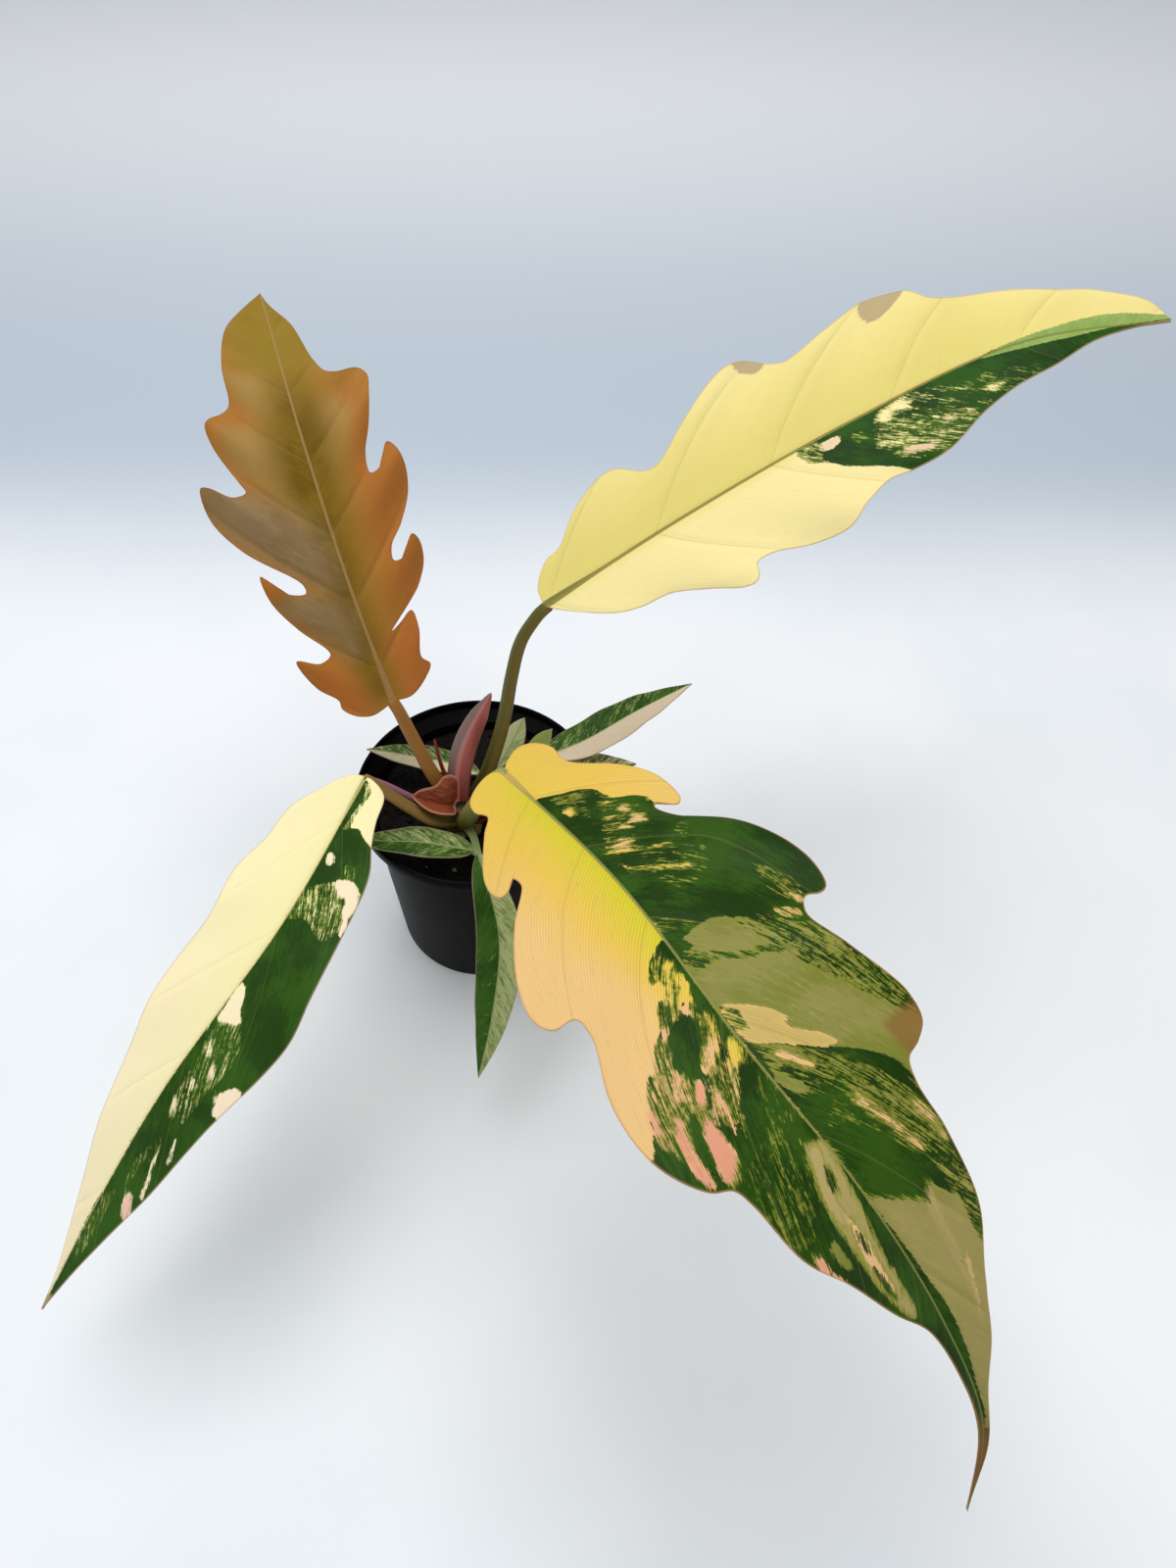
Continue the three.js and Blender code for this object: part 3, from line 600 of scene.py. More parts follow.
# A blade's middle surface, laid flat: its points, their shares of the midrib's half width and of the way
# to the margin, its faces and its border
def bladeSurface(leaf, length, columns, rib):
    shape = bladeForm
    steps = shape["midribSteps"]
    sides = [(-1, bladeRows(leaf["left"], leaf, length)), (1, bladeRows(leaf["right"], leaf, length))]
    stations = {0.0, round(length, 3)}
    for sign, rows in sides:
        stations |= {round(start, 3) for start, end in rows}
    chain = sorted(stations)
    index = {x: i for i, x in enumerate(chain)}
    xy = [(x, 0.0) for x in chain]
    spread = [0.0] * len(chain)
    reachOut = [0.0] * len(chain)
    faces = []
    border = []

    def tile(corners, sign):
        kept = [c for i, c in enumerate(corners) if c != corners[i - 1]]
        if len(kept) > 2:
            faces.append(kept if sign < 0 else kept[::-1])

    for sign, rows in sides:
        before = [0] * (len(steps) + columns)
        came = 0
        for start, end in rows + [(length, None)]:
            if end is None:
                to = len(chain) - 1
                row = [to] * len(before)
            else:
                to = index[round(start, 3)]
                reach = math.hypot(end[0] - start, end[1])
                ribEdge = shape["midribWidth"] * midribSize(start, length, rib) / max(reach, 1e-6)
                ribEdge = min(ribEdge, shape["midribLimit"])
                shares = [s * ribEdge for s in steps]
                shares += [ribEdge + (1 - ribEdge) * (k + 1) / columns for k in range(columns)]
                row = list(range(len(xy), len(xy) + len(shares)))
                xy += [(start + (end[0] - start) * s, end[1] * s) for s in shares]
                spread += steps + [1.0] * columns
                reachOut += shares
            hub = row[0] if before[0] == 0 else before[0]
            for k in range(came, to):
                tile([k, k + 1, hub], sign)
            tile([came if hub == row[0] else to, row[0], before[0]], sign)
            for k in range(len(row) - 1):
                tile([before[k], row[k], row[k + 1], before[k + 1]], sign)
            border.append((before[-1], row[-1], sign))
            before = row
            came = to
    return np.array(xy), np.array(spread), np.array(reachOut), faces, border


# Distances across the veins and along them
def veinPlaces(leaf, xy):
    out = np.abs(xy[:, 1])
    vein = leaf["veins"]
    bend, curl, sweep = [np.where(xy[:, 1] < 0, a, b) for a, b in zip(vein["left"], vein["right"])]
    bend = bend + sweep * np.clip((xy[:, 0] - 70) / 80, 0, 1.3)
    return xy[:, 0] - bend * out - curl * out ** 2, out * np.sqrt(1 + (bend + curl * out) ** 2)


# How far each point lies from the blade's margin, worked out a stretch at a time
def marginDistance(xy, edge, stretch=2000):
    rim = np.full(len(xy), 99.0)
    for first in range(0, len(xy), stretch):
        part = xy[first:first + stretch]
        rim[first:first + stretch] = np.sqrt(((part[:, None, :] - edge[None]) ** 2).sum(-1).min(1))
    return rim


# A blade with its pattern: two skins either side of the middle surface, and a round midrib below
def makeBlade(name, leaf, material, columns=26, rib=1.0):
    course = Course(leaf["midrib"])
    shape = bladeForm
    xy, spread, reachOut, faces, border = bladeSurface(leaf, course.length, columns, rib)
    count = len(xy)
    out = np.abs(xy[:, 1])
    across, alongVein = veinPlaces(leaf, xy)
    ribs = midribSize(xy[:, 0], course.length, rib)
    thin = np.clip((reachOut - 1 + shape["edgeReach"]) / shape["edgeReach"], 0, 1)
    half = shape["thickness"] / 2 * (1 - (1 - shape["edge"]) * thin)
    groove = shape["midribGroove"] * ribs * (1 - spread ** 2)
    keel = shape["midribDepth"] * ribs * np.sqrt(np.clip(1 - spread ** 2, 0, 1))
    # the blade dips a little along each side vein
    gap = leafInks[leaf["inks"]]["spacing"]
    away = np.abs((across - leafInks[leaf["inks"]]["start"] + gap / 2) % gap - gap / 2)
    relief = -leaf["quilt"] * np.exp(-(away / shape["veinDip"]) ** 2)
    relief = relief * np.clip((out - shape["dipFrom"]) / shape["dipReach"], 0, 1)
    relief = relief * np.clip((1 - reachOut) * shape["dipEnds"], 0, 1)
    top = bladePlaces(leaf, course, xy, half - groove + relief)
    bottom = bladePlaces(leaf, course, xy, -half - keel + relief)
    faces += [[count + i for i in face[::-1]] for face in faces]
    for a, b, sign in border:
        if a != b:
            wall = [a, b, count + b, count + a]
            faces.append(wall if sign < 0 else wall[::-1])
    mesh = bpy.data.meshes.new(name)
    mesh.from_pydata((np.vstack([top, bottom]) * mm).tolist(), [], faces)
    field = paintMarks(leaf, xy)
    edge = np.array([xy[b] for a, b, sign in border] + [xy[0]])
    layers = {
        "leafPlace": (xy[:, 0], xy[:, 1], marginDistance(xy, edge), np.zeros(count)),
        "marks": (field["green"], field["olive"], field["ragged"], field["pink"]),
        "grain": (across, alongVein, field["tint"], field["wet"] - field["dry"]),
    }
    for layer, parts in layers.items():
        values = np.vstack([np.stack(parts, -1)] * 2)
        if layer == "leafPlace":
            values[count:, 3] = 1
        storeLayer(mesh, layer, values)
    return makePiece(name, mesh, material, 50)


def storeLayer(mesh, name, values):
    made = mesh.attributes.new(name, "FLOAT_COLOR", "POINT")
    made.data.foreach_set("color", values.astype(np.float32).ravel())


# A new piece from its mesh, shaded smooth where its faces meet at less than the angle
def makePiece(name, mesh, material, angle):
    mesh.materials.append(material)
    piece = bpy.data.objects.new(name, mesh)
    bpy.context.collection.objects.link(piece)
    smooth(piece, angle)
    return piece


def deselect():
    bpy.ops.object.select_all(action="DESELECT")


def takeUp(piece):
    deselect()
    piece.select_set(True)
    bpy.context.view_layer.objects.active = piece


def smooth(piece, angle):
    takeUp(piece)
    bpy.ops.object.shade_smooth_by_angle(angle=math.radians(angle))


# A piece moves with the plant's one body and stands for its node
def settle(piece, node):
    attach(piece, "root")
    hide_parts(node)


# Large leaves. The midrib is a course through the plant's frame, and roll turns the blade about it, in
# degrees at base and tip. Fold and droop are its rise and fall to the sides, and sweep is how much its rows
# and waves lean towards the tip on their way out. Step spaces the margin's stops, and rowStep the rows.
# Veins holds how each half's side veins lean and curl, and how much more they lean further along, and quilt
# how deep the blade dips along them. Marks are outlines or streaks in the leaf's own frame.
marbledLeaf = {
    "midrib": [
        (17, -50, 145), (51, -107, 169), (77, -153, 176), (102, -184, 168),
        (120, -205, 150), (131, -221, 129), (130, -234, 110),
    ],
    "roll": (-2, 2), "fold": 0.12, "droop": 0.002, "sweep": 0.8, "step": 5.5, "rowStep": 0.8,
    "wave": {"height": 1.6, "length": 40, "left": 0.5, "right": 1.6, "reach": 32},
    "veins": {"left": (0.5, 0.008, 1.1), "right": (0.95, 0.013, 0.9)},
    "quilt": 0.3, "inks": "marbled",
    "left": [
        (-4.5, -2.5), (-9.5, -9.5), (-7.5, -14), (-1.5, -17), (10, -16.5), (25.5, -26), (40, -31.5),
        (49.5, -31.5), (51.5, -29), (47.5, -25), (49, -23.5), (57.5, -26), (67, -35.5), (79, -41.5),
        (91, -44.5), (97.5, -43.5), (98.5, -41), (97.5, -37.5), (101, -34.5), (106, -33),
        (119, -36), (138.5, -41), (146, -38.5), (149.5, -32.5), (151, -28), (156, -26),
        (166.5, -25.5), (174, -24), (185, -20.5), (197.5, -13.5), (208, -9), (219, -3), (235, -0.9),
    ],
    "right": [
        (-3, 3), (0.5, 9), (9, 15.5), (15.5, 16.5), (19, 14.5), (27, 19), (45, 27.5), (54.5, 29),
        (58, 28), (57, 25.5), (52.5, 22), (56.5, 21.5), (71, 30.5), (87.5, 37), (100, 38),
        (104, 35.5), (104, 30), (109.5, 29), (122, 33), (134.5, 33.5), (141, 31.5), (145.5, 28),
        (148, 23.5), (152.5, 22), (167, 20.5), (176.5, 15), (188.5, 9.5), (198, 4), (214, 2),
        (235, 0.9),
    ],
}


# Lime beside the midrib, most of all in the right half, and peach further out and towards the tip
def marbledTint(x, y):
    out = np.abs(y)
    along = np.clip((x + 8) / 30, 0, 1) * np.clip(2.6 - x / 60, 0, 1)
    lime = np.exp(-(out / 9.0) ** 1.5) * (0.25 + 0.85 * along * (y > 0))
    peach = np.clip((out - 9) / 20, 0, 1) * np.clip((x - 25) / 50, 0, 1) + np.clip((x - 85) / 25, 0, 0.8)
    return lime - 0.85 * np.clip(peach, 0, 1) * (1 - np.clip(lime, 0, 1))


marbledLeaf["tint"] = marbledTint
peachMark = {"tint": -1.0, "pink": 0.25}
pinkMark = {"tint": -1.0, "pink": 0.9, "soft": 1.0, "ragged": 0.8}
rosyMark = {"tint": -1.0, "pink": 0.5}
marbledLeaf["marks"] = [
    # the half seen to the right of the midrib: green from the second lobe on
    ("green", [
        (20.5, 0.5), (21.1, -2.5), (23.5, -5.9), (25.4, -10.3), (29, -14.3), (33.7, -15.9), (37.7, -17.3),
        (40, -21.3), (43, -24.2), (47.8, -24.4), (57, -30), (70, -52), (150, -60), (245, -52), (245, 0),
        (130, 0), (60, 0),
    ], {"half": -1}),
    ("mottled", [
        (23.2, -2.8), (26.1, -9.9), (29.2, -13.6), (34, -15.2), (40, -18.1), (43.3, -24), (49.1, -22),
        (55.9, -17.5), (58.1, -12.5), (62.9, -10.6), (60.3, -6.1), (56.2, -2), (44.5, -5.1), (35.7, -4.7),
        (29.1, -2.9),
    ], {"level": -0.75, "amount": 1.5}),
    ("mixed", [
        (34.5, -12.4), (37.4, -15.5), (42.6, -19.9), (45.3, -22.3), (53.6, -18.2), (55.1, -14.8),
        (62.1, -10.2), (58, -5.5), (51, -4.4), (43.7, -8.1),
    ], {"level": 0.9, "amount": 1.5, "tint": -0.6, "soft": 3}),
    ("light", [(51.5, -14.2), (49.1, -16.6), (50.7, -18.5), (54.3, -17.9), (53.2, -16)], peachMark),
    ("light", [(42.5, -15.6), (42.3, -17.3), (44.4, -18.1), (46.9, -17.2), (45.5, -14.9)], peachMark),
    ("light", [(50.6, -10.6), (50.6, -11.9), (52.4, -13.4), (52.8, -12.2)], peachMark),
    ("light", [
        (55.6, -3.8), (56.4, -6.4), (55.8, -8.8), (57.8, -11.7), (59, -9.9), (58.5, -7.2), (56.3, -3.9),
    ], peachMark),
    ("light", [(32.3, -2.8), (32.2, -4.8), (34.7, -5.3), (36.8, -3.8), (35.2, -3.4)], {"tint": -0.4}),
    ("line", [(57.3, -1.8), (57.7, -2.6), (62, -10.1), (65.8, -17.2)], {"width": 0.22, "tint": -0.3}),
    ("mottled", [
        (62.7, -9.6), (65.1, -15.7), (69.4, -21.8), (73.2, -18.5), (68.9, -12.2), (65.2, -8.6),
    ], {"level": -0.7, "amount": 1.4}),
    ("mottled", [(60.2, -22.9), (61, -27), (68.4, -21.4), (65.3, -19.6)], {"level": -0.6, "amount": 1.4}),
    ("line", [(62, -3.1), (64, -3.9), (65.6, -4.4)], peachMark),
    ("line", [
        (67.2, -3.7), (69.1, -7.5), (70.7, -10.4), (73.6, -15.3), (75.2, -18.1),
    ], {"width": 0.25, "tint": -0.5}),
    ("mottled", [
        (66, -5), (73, -6), (81, -9), (84, -15), (79, -24), (72, -27), (66, -20),
    ], {"level": -0.95, "amount": 1.3, "soft": 5}),
    ("mottled", [
        (80, -30), (86, -37), (95, -40), (99, -33), (92, -28),
    ], {"level": -0.8, "amount": 1.3, "soft": 4}),
    ("mottled", [
        (84.5, -0.7), (87.2, -6), (90.8, -9.4), (92.5, -8.3), (93, -4.8), (92, -0.9), (88.3, 0.1),
    ], {"level": -0.7, "amount": 1.4}),
    ("olive", [
        (95.3, -2.1), (93.8, -6), (93, -9.4), (93.1, -12.5), (96.3, -17.4), (100, -19.2), (102.6, -23.9),
        (108.2, -28.5), (114.1, -32.5), (119.5, -36.2), (146.1, -45.8), (155.4, -47.8), (161.8, -38.8),
        (161.9, -26.6), (151.2, -25.8), (144.7, -22.2), (133.6, -10.9), (126, -1.3), (125.5, 0), (115.9, 0),
        (106, 0), (98.9, 0),
    ]),
    ("green", [(92.6, 0), (94, -2.9), (96.2, -4.3), (98.6, -4.9), (97.9, -2.2), (100.3, -1.6), (100.9, 0)]),
    ("mottled", [
        (97.9, -2), (100.1, -5.1), (101.6, -8.7), (103.7, -11.8), (105.6, -17.4), (107.9, -23.2),
        (113.2, -26.2), (116.7, -29.5), (116.5, -27.8), (111.9, -22.4), (110.1, -19), (109.3, -15),
        (106.6, -10), (105, -5.2), (105.7, -3), (105.3, -1.5), (99.9, -0.8),
    ], {"level": -0.55, "amount": 1.7}),
    ("mottled", [
        (97.4, -17.2), (98.8, -21.9), (103.8, -27.9), (111.3, -32.3), (119.2, -35.6), (114.8, -29.4),
        (108, -24.6), (103.6, -20.6), (99.1, -17),
    ], {"level": -0.5, "amount": 1.7}),
    ("mottled", [
        (97, -17), (99, -26), (106, -33), (118, -38), (132, -44), (148, -46), (150, -40), (141, -35),
        (128, -29), (116, -23), (106, -19),
    ], {"level": -0.45, "amount": 1.9, "soft": 2.5}),
    ("light", [(94.9, -33.8), (95.8, -36.1), (98.6, -36.2), (99.8, -34.3), (96.4, -34.2)], peachMark),
    ("mixed", [
        (97.3, -26.2), (99, -30.7), (102.1, -33.4), (105.8, -30.9), (103.4, -27.8), (99.3, -25.6),
    ], {"level": -0.1, "amount": 1.6, "tint": -0.9, "pink": 0.2}),
    ("light", [
        (114.8, -1.2), (116.2, -3.7), (119.7, -8.1), (123.5, -11.3), (126.5, -12.2), (126.5, -10.8),
        (128.2, -10.9), (133.9, -15.8), (137.9, -17.7), (138.3, -16.3), (131.5, -8.2), (125.8, -1.2),
        (123, -0.8), (119, -0.8),
    ], {"tint": -0.3, "pink": -0.55}),
    ("mixed", [
        (116.4, -1.5), (117.9, -3.9), (120.5, -4.3), (122.9, -4.1), (124, -2.6), (121.5, -1.2),
        (119.3, -0.9),
    ], {"level": 0.4, "amount": 1.4, "tint": -0.4, "soft": 0.6}),
    ("mottled", [
        (127.9, -1.9), (129.3, -4.8), (136.4, -12.1), (146.8, -20.2), (155.3, -23.6), (164.7, -25.4),
        (174.5, -24), (175.4, -19.2), (167.1, -16.7), (160.1, -12.9), (153.4, -9.1), (145.5, -6.5),
        (138.6, -3), (133.8, -1),
    ], {"level": -0.35, "amount": 1.8}),
    ("green", [
        (126.4, -1.2), (130.2, -5), (139, -14.5), (146, -20.6), (152, -24.6), (158, -25.6), (152, -22.3),
        (145, -17.6), (137, -10.4), (131, -4),
    ], {"ragged": 1.3}),
    ("mottled", [
        (133, -4), (142, -9), (156, -16), (172, -21), (176, -16), (168, -6), (156, -2), (143, -2),
    ], {"level": -0.85, "amount": 1.5, "soft": 4}),
    ("light", [
        (131, -5.4), (134.3, -7.7), (138.4, -9.3), (138.2, -8.2), (134.7, -6.1), (132.8, -4.5),
    ], peachMark),
    ("olive", [(134.4, -1.3), (137.6, -3.6), (141.4, -5.3), (141.6, -3.2), (138.2, -1.1), (136.3, -0.4)]),
    ("green", [
        (142, -2.9), (143.5, -6), (146.7, -9), (148.1, -7), (148.5, -4), (144.6, -2.4),
    ], {"ragged": 0.8}),
    ("line", [
        (150.1, -12.6), (155.1, -14), (159.1, -15.6),
    ], {"width": 0.55, "tint": -1, "pink": 0.3, "ragged": 0.5}),
    ("line", [
        (159.4, -15.3), (162.2, -16.1), (165.8, -17.4),
    ], {"width": 0.5, "tint": -1, "pink": 0.3, "ragged": 0.5}),
    ("line", [
        (158.9, -22.6), (163.5, -24), (167.8, -24.2),
    ], {"width": 0.6, "tint": -1, "pink": 0.5, "ragged": 0.5}),
    ("green", [
        (150.4, -4.7), (156.1, -11.5), (162.8, -14.7), (172.5, -18.6), (177.4, -17.3), (176.1, -15.2),
        (172.9, -13.1), (175.4, -11.3), (171.9, -6.6), (167.9, -2), (166.9, 0), (161.1, 0), (153, 0),
    ], {"ragged": 1.2}),
    ("olive", [
        (166.9, 0), (168.2, -2.2), (171.9, -6.6), (175.6, -11.2), (173.1, -13), (176.3, -15.1),
        (177.8, -17.4), (172.5, -18.6), (176.1, -21.4), (182.1, -23.4), (195.7, -18.8), (215, -10),
        (245, -6), (245, 0), (200, 0),
    ], {"pink": -0.6, "half": -1, "soft": 6}),
    ("green", [
        (163, 1), (174, -0.5), (184, -1.3), (190, -1.9), (196, -2.6), (202, -2.4), (208, -1.9),
        (215, -0.9), (226, -0.3), (226, 2), (200, 3), (170, 3),
    ], {"ragged": 0.3}),
    ("tone", [
        (168, -15), (176, -13), (186, -11.5), (197, -10), (205, -8), (197, -9), (186, -9.5), (175, -10.5),
    ], {"pink": -1, "soft": 1}),
    ("light", [
        (172, -13.6), (178, -12.4), (187, -11.2), (192, -10.4), (186, -10.1), (177, -11),
    ], {"tint": -1, "ragged": 0.4}),
    ("light", [(188, -13.2), (196, -11), (203, -8.6), (198, -9), (192, -11)], {"tint": -1, "ragged": 0.4}),
    ("mottled", [
        (172, -20), (180, -17), (192, -17), (190, -20), (178, -24),
    ], {"level": -0.6, "amount": 1.6, "soft": 2}),
    ("green", [(173.3, -24), (182.1, -20.6), (188.7, -17.8), (190, -20), (180, -25)]),
    # the half to the left: green from the third lobe on
    ("green", [
        (92.5, 0), (92.9, 2), (96.3, 5.3), (99.3, 8.1), (103, 9.6), (103.2, 7), (105.4, 7.3),
        (108.1, 9.7), (109.6, 11.4), (112.8, 13.2), (115.4, 15.6), (118.7, 18.8), (122.4, 21.2),
        (121.3, 22.4), (123.8, 25.1), (125.8, 26.4), (128.2, 27.2), (131.5, 30.2), (134.3, 32.9),
        (136, 36), (150, 50), (245, 50), (245, 0), (170, 0), (120, 0),
    ], {"ragged": 0.5, "half": 1}),
    ("mixed", [
        (93.8, 2.6), (95.6, 2.2), (100.1, 2.1), (102.7, 2.3), (110.6, 7.6), (108, 8.9), (103, 7.4),
        (103, 9.8), (99.3, 8.3), (96, 5.5),
    ], {"level": 0.3, "amount": 1.3, "soft": 0.8, "tint": 0.3}),
    ("light", [
        (98, 3.6), (99, 2.6), (100.7, 2.5), (101.9, 3.9), (101.3, 5.1), (102.6, 5.6), (103.9, 7.1),
        (103.6, 7.8), (101.4, 5.8), (99.3, 4.8),
    ], {"tint": 0.1}),
    ("light", [
        (102.5, 2.5), (103.4, 1.8), (105.5, 1.7), (107.9, 2.2), (108.7, 3.1), (110.8, 3.5), (112, 4.5),
        (110.5, 6), (110.8, 7.3), (108.8, 6.4), (106.7, 4.6), (104, 3.9),
    ], {"tint": 0.15}),
    ("light", [
        (103, 7), (103.6, 5.8), (106.2, 6.5), (108.8, 7.5), (110.1, 8.6), (108.4, 9.2), (105.4, 7.1),
    ], {"tint": 0}),
    ("light", [
        (110.8, 7.3), (110.7, 6.1), (112.4, 4.6), (114.4, 5), (115.5, 6), (114, 6.7), (112.9, 7.8),
    ], peachMark),
    ("mixed", [
        (107.6, 10.8), (108.2, 9.4), (110.6, 7.8), (113.1, 8.5), (115.2, 11.5), (113.5, 13.9),
    ], {"level": 0.4, "amount": 1.4, "tint": -0.6}),
    ("mixed", [
        (111.4, 4.2), (113.1, 2.8), (117.3, 1.5), (120.7, 1.9), (122.4, 3), (124.8, 6.7), (128.2, 10.5),
        (122.7, 10.5), (116, 6.4),
    ], {"level": 0.55, "amount": 1.5, "tint": -0.1, "soft": 2}),
    ("light", [
        (120.5, 5.6), (121.7, 4.3), (123.7, 5.6), (125.4, 8), (127.4, 9.7), (128, 10.9), (126.5, 12.1),
        (124.7, 10.8), (122.4, 8.8), (121.1, 7),
    ], peachMark),
    ("mixed", [
        (115.6, 16.3), (119.3, 14.4), (122.5, 16.6), (126, 14.7), (132.9, 20.2), (130.6, 25.2),
        (126.5, 26.3), (124.3, 25.4), (122, 21.4), (118.3, 18.8),
    ], {"level": 0.15, "amount": 1.7, "tint": -1, "pink": 0.45, "soft": 1.6}),
    ("mixed", [
        (126.8, 27), (127.3, 24), (132.5, 22.5), (137.5, 25), (138, 28.3), (133.5, 30),
    ], {"level": 0.3, "amount": 1.5, "tint": -1, "pink": 0.7}),
    ("mixed", [
        (125.8, 8.3), (126.3, 5.4), (130.1, 4.4), (136.9, 10.4), (138.1, 13.2), (136.9, 16.2), (130.7, 13),
    ], {"level": 0.35, "amount": 1.5, "tint": -0.9, "pink": 0.25, "soft": 1.6}),
    ("mixed", [
        (130.6, 18.5), (132, 16.4), (137.5, 18.5), (143.5, 21.3), (146.8, 23.4), (142, 23), (136, 21.3),
    ], {"level": 0.3, "amount": 1.4, "tint": -1, "pink": 0.8}),
    ("light", [
        (122.8, 2.7), (123.1, 1.7), (125.3, 1.3), (126.8, 1.5), (128.6, 3.2), (129.3, 5), (128.7, 6.7),
        (126, 4.6), (124.3, 3.7),
    ], {"tint": 0.4, "soft": 0.8}),
    ("green", [
        (115.2, 12.3), (114.6, 9.7), (116.1, 7.5), (119.8, 7.6), (122.8, 10.3), (121.8, 13.3),
        (123.7, 16.5), (122.3, 16.7), (120.3, 14.8), (117.9, 14.6),
    ], {"ragged": 0.6}),
    ("light", [(113.3, 13.3), (113.7, 12), (116.7, 14.3), (116.8, 15), (115.5, 14.9)], rosyMark),
    ("light", [
        (125.3, 19.8), (124.8, 17.1), (127.7, 19.3), (131.4, 21.4), (133.8, 23), (136.3, 24), (132.2, 22.8),
        (129.1, 21.2), (127.4, 21.2),
    ], rosyMark),
    ("light", [
        (127.8, 15.1), (128.4, 13.6), (131.4, 16.1), (133.1, 19.1), (131.2, 17.9), (129.5, 16.8),
    ], rosyMark),
    ("light", [
        (131.2, 13.8), (131.1, 12), (135.1, 15.2), (136.2, 16.4), (135.3, 17.3), (132.8, 15.2),
    ], rosyMark),
    ("green", [
        (134.4, 20.4), (138.5, 22.6), (143, 24.2), (146.1, 25.2), (145.1, 26.2), (141.2, 25.4), (138, 24.6),
        (135.4, 22.4),
    ], {"ragged": 0.6}),
    ("light", [
        (131.9, 25.1), (131.8, 23.4), (134.7, 24.6), (138.5, 25.6), (142.9, 25.8), (146, 26.6),
        (144.3, 27.9), (140.7, 28.5), (136, 27.5),
    ], pinkMark),
    ("light", [
        (133.5, 18.7), (136.3, 17.7), (139.7, 17.9), (142.5, 18), (145, 19.7), (147, 22.7), (145.2, 24),
        (141.4, 23), (137.8, 21.7),
    ], pinkMark),
    ("light", [(127.2, 15), (127.8, 13.7), (131.4, 16.1), (131.7, 18.2), (129.2, 17.3)], pinkMark),
    ("light", [
        (127.2, 27.4), (128.4, 26.5), (131.5, 27.9), (134.9, 29.2), (133.4, 29.5), (130.3, 28.9),
    ], pinkMark),
    ("light", [
        (128.3, 12), (133.8, 12.4), (137.9, 13.5), (140.4, 15.2), (137.2, 15), (133, 14.3),
    ], rosyMark),
    ("light", [(129.7, 23.6), (131.2, 23.2), (134.6, 24.2), (133.5, 25), (131.5, 24.8)], pinkMark),
    ("mixed", [
        (136.5, 11), (138.1, 10.4), (139.3, 11.3), (142.9, 14), (140.9, 13.5), (138.5, 12.6),
    ], {"level": -0.1, "amount": 1.2, "tint": -1, "soft": 0.8}),
    ("mottled", [
        (118, 0.5), (135, 1), (150, 3), (160, 10), (168, 20), (155, 26), (146, 22), (142, 12), (132, 5),
    ], {"level": -1.05, "amount": 1.4, "soft": 4}),
    ("mottled", [
        (152.3, 14.8), (156.3, 9.4), (167.3, 16), (164.1, 20.5), (156.7, 18.9),
    ], {"level": -0.9, "amount": 1.4, "soft": 3}),
    ("mixed", [
        (141.3, 3.8), (143.5, 0.9), (145.6, 2.6), (143.9, 5.8),
    ], {"level": 0.9, "amount": 1.4, "tint": -0.8}),
    ("mixed", [
        (146.9, 4), (150.5, 2), (152.8, 5.1), (150.1, 5.8),
    ], {"level": 0.9, "amount": 1.4, "tint": -0.8}),
    ("olive", [
        (151, 3.8), (151.5, 0.6), (154, 0), (162, 1.6), (170, 3), (177, 4.4), (184, 4.8), (190, 4.8),
        (192, 6), (189, 7.8), (182.6, 9.6), (176, 10.2), (170.8, 10), (165, 10), (157.6, 7.6),
    ], {"pink": -0.9, "ragged": 1.7}),
    ("light", [
        (151.5, 4), (152.4, 2), (157.2, 3.8), (162.3, 6), (168, 6.8), (167.2, 8.6), (162.6, 9), (156.9, 7),
    ], {"tint": -1, "ragged": 0.45}),
    ("light", [
        (166.9, 6.3), (171.6, 6), (177.1, 6.4), (184, 6.8), (183, 8.4), (176.9, 9), (171.2, 8.3),
    ], {"tint": -1, "pink": 0.2, "ragged": 0.45}),
    ("green", [(155.5, 3.3), (158.7, 3.1), (162, 5.4), (160.4, 6.2)], {"ragged": 0.7}),
    ("green", [(169, 6.4), (171.6, 6), (175.5, 7.2), (173.2, 8)], {"ragged": 0.7}),
    ("green", [(177, 8.1), (180.5, 7.5), (186.2, 7.3), (184.5, 8.7), (181.2, 9.3)], {"ragged": 0.8}),
    ("olive", [(167.8, 12.6), (174.1, 12.4), (174, 13.9), (168.8, 14.5)], {"ragged": 0.7}),
    ("light", [
        (167.8, 17.8), (169.3, 16.6), (171.8, 17.1), (175.2, 15.4), (174.7, 16.3), (171.2, 18.6),
        (169.6, 18.9),
    ], pinkMark),
    ("green", [(228, -4), (228, 4), (250, 4), (250, -4)], {"ragged": 0.3, "soft": 8}),
    ("wet", [(228, -5), (226, 5), (250, 5), (250, -5)], {"soft": 8}),
    ("wet", [
        (142, -29), (146, -28.5), (150.5, -29), (152, -36), (149, -42), (143, -42.5), (141, -36),
    ], {"soft": 1.5}),
]


# The right half is warm and brighter, as painted light on that half. The left half is lime by the midrib,
# and warm at its margin and towards the tip.
def yellowTintAndPaintedLight(x, y):
    left = 0.4 - 0.9 * np.clip((-y - 8) / 26, 0, 1) - 0.7 * np.clip((x - 150) / 40, 0, 1)
    return np.where(y > 0, -0.8 * np.clip(y / 4, 0, 1), left)


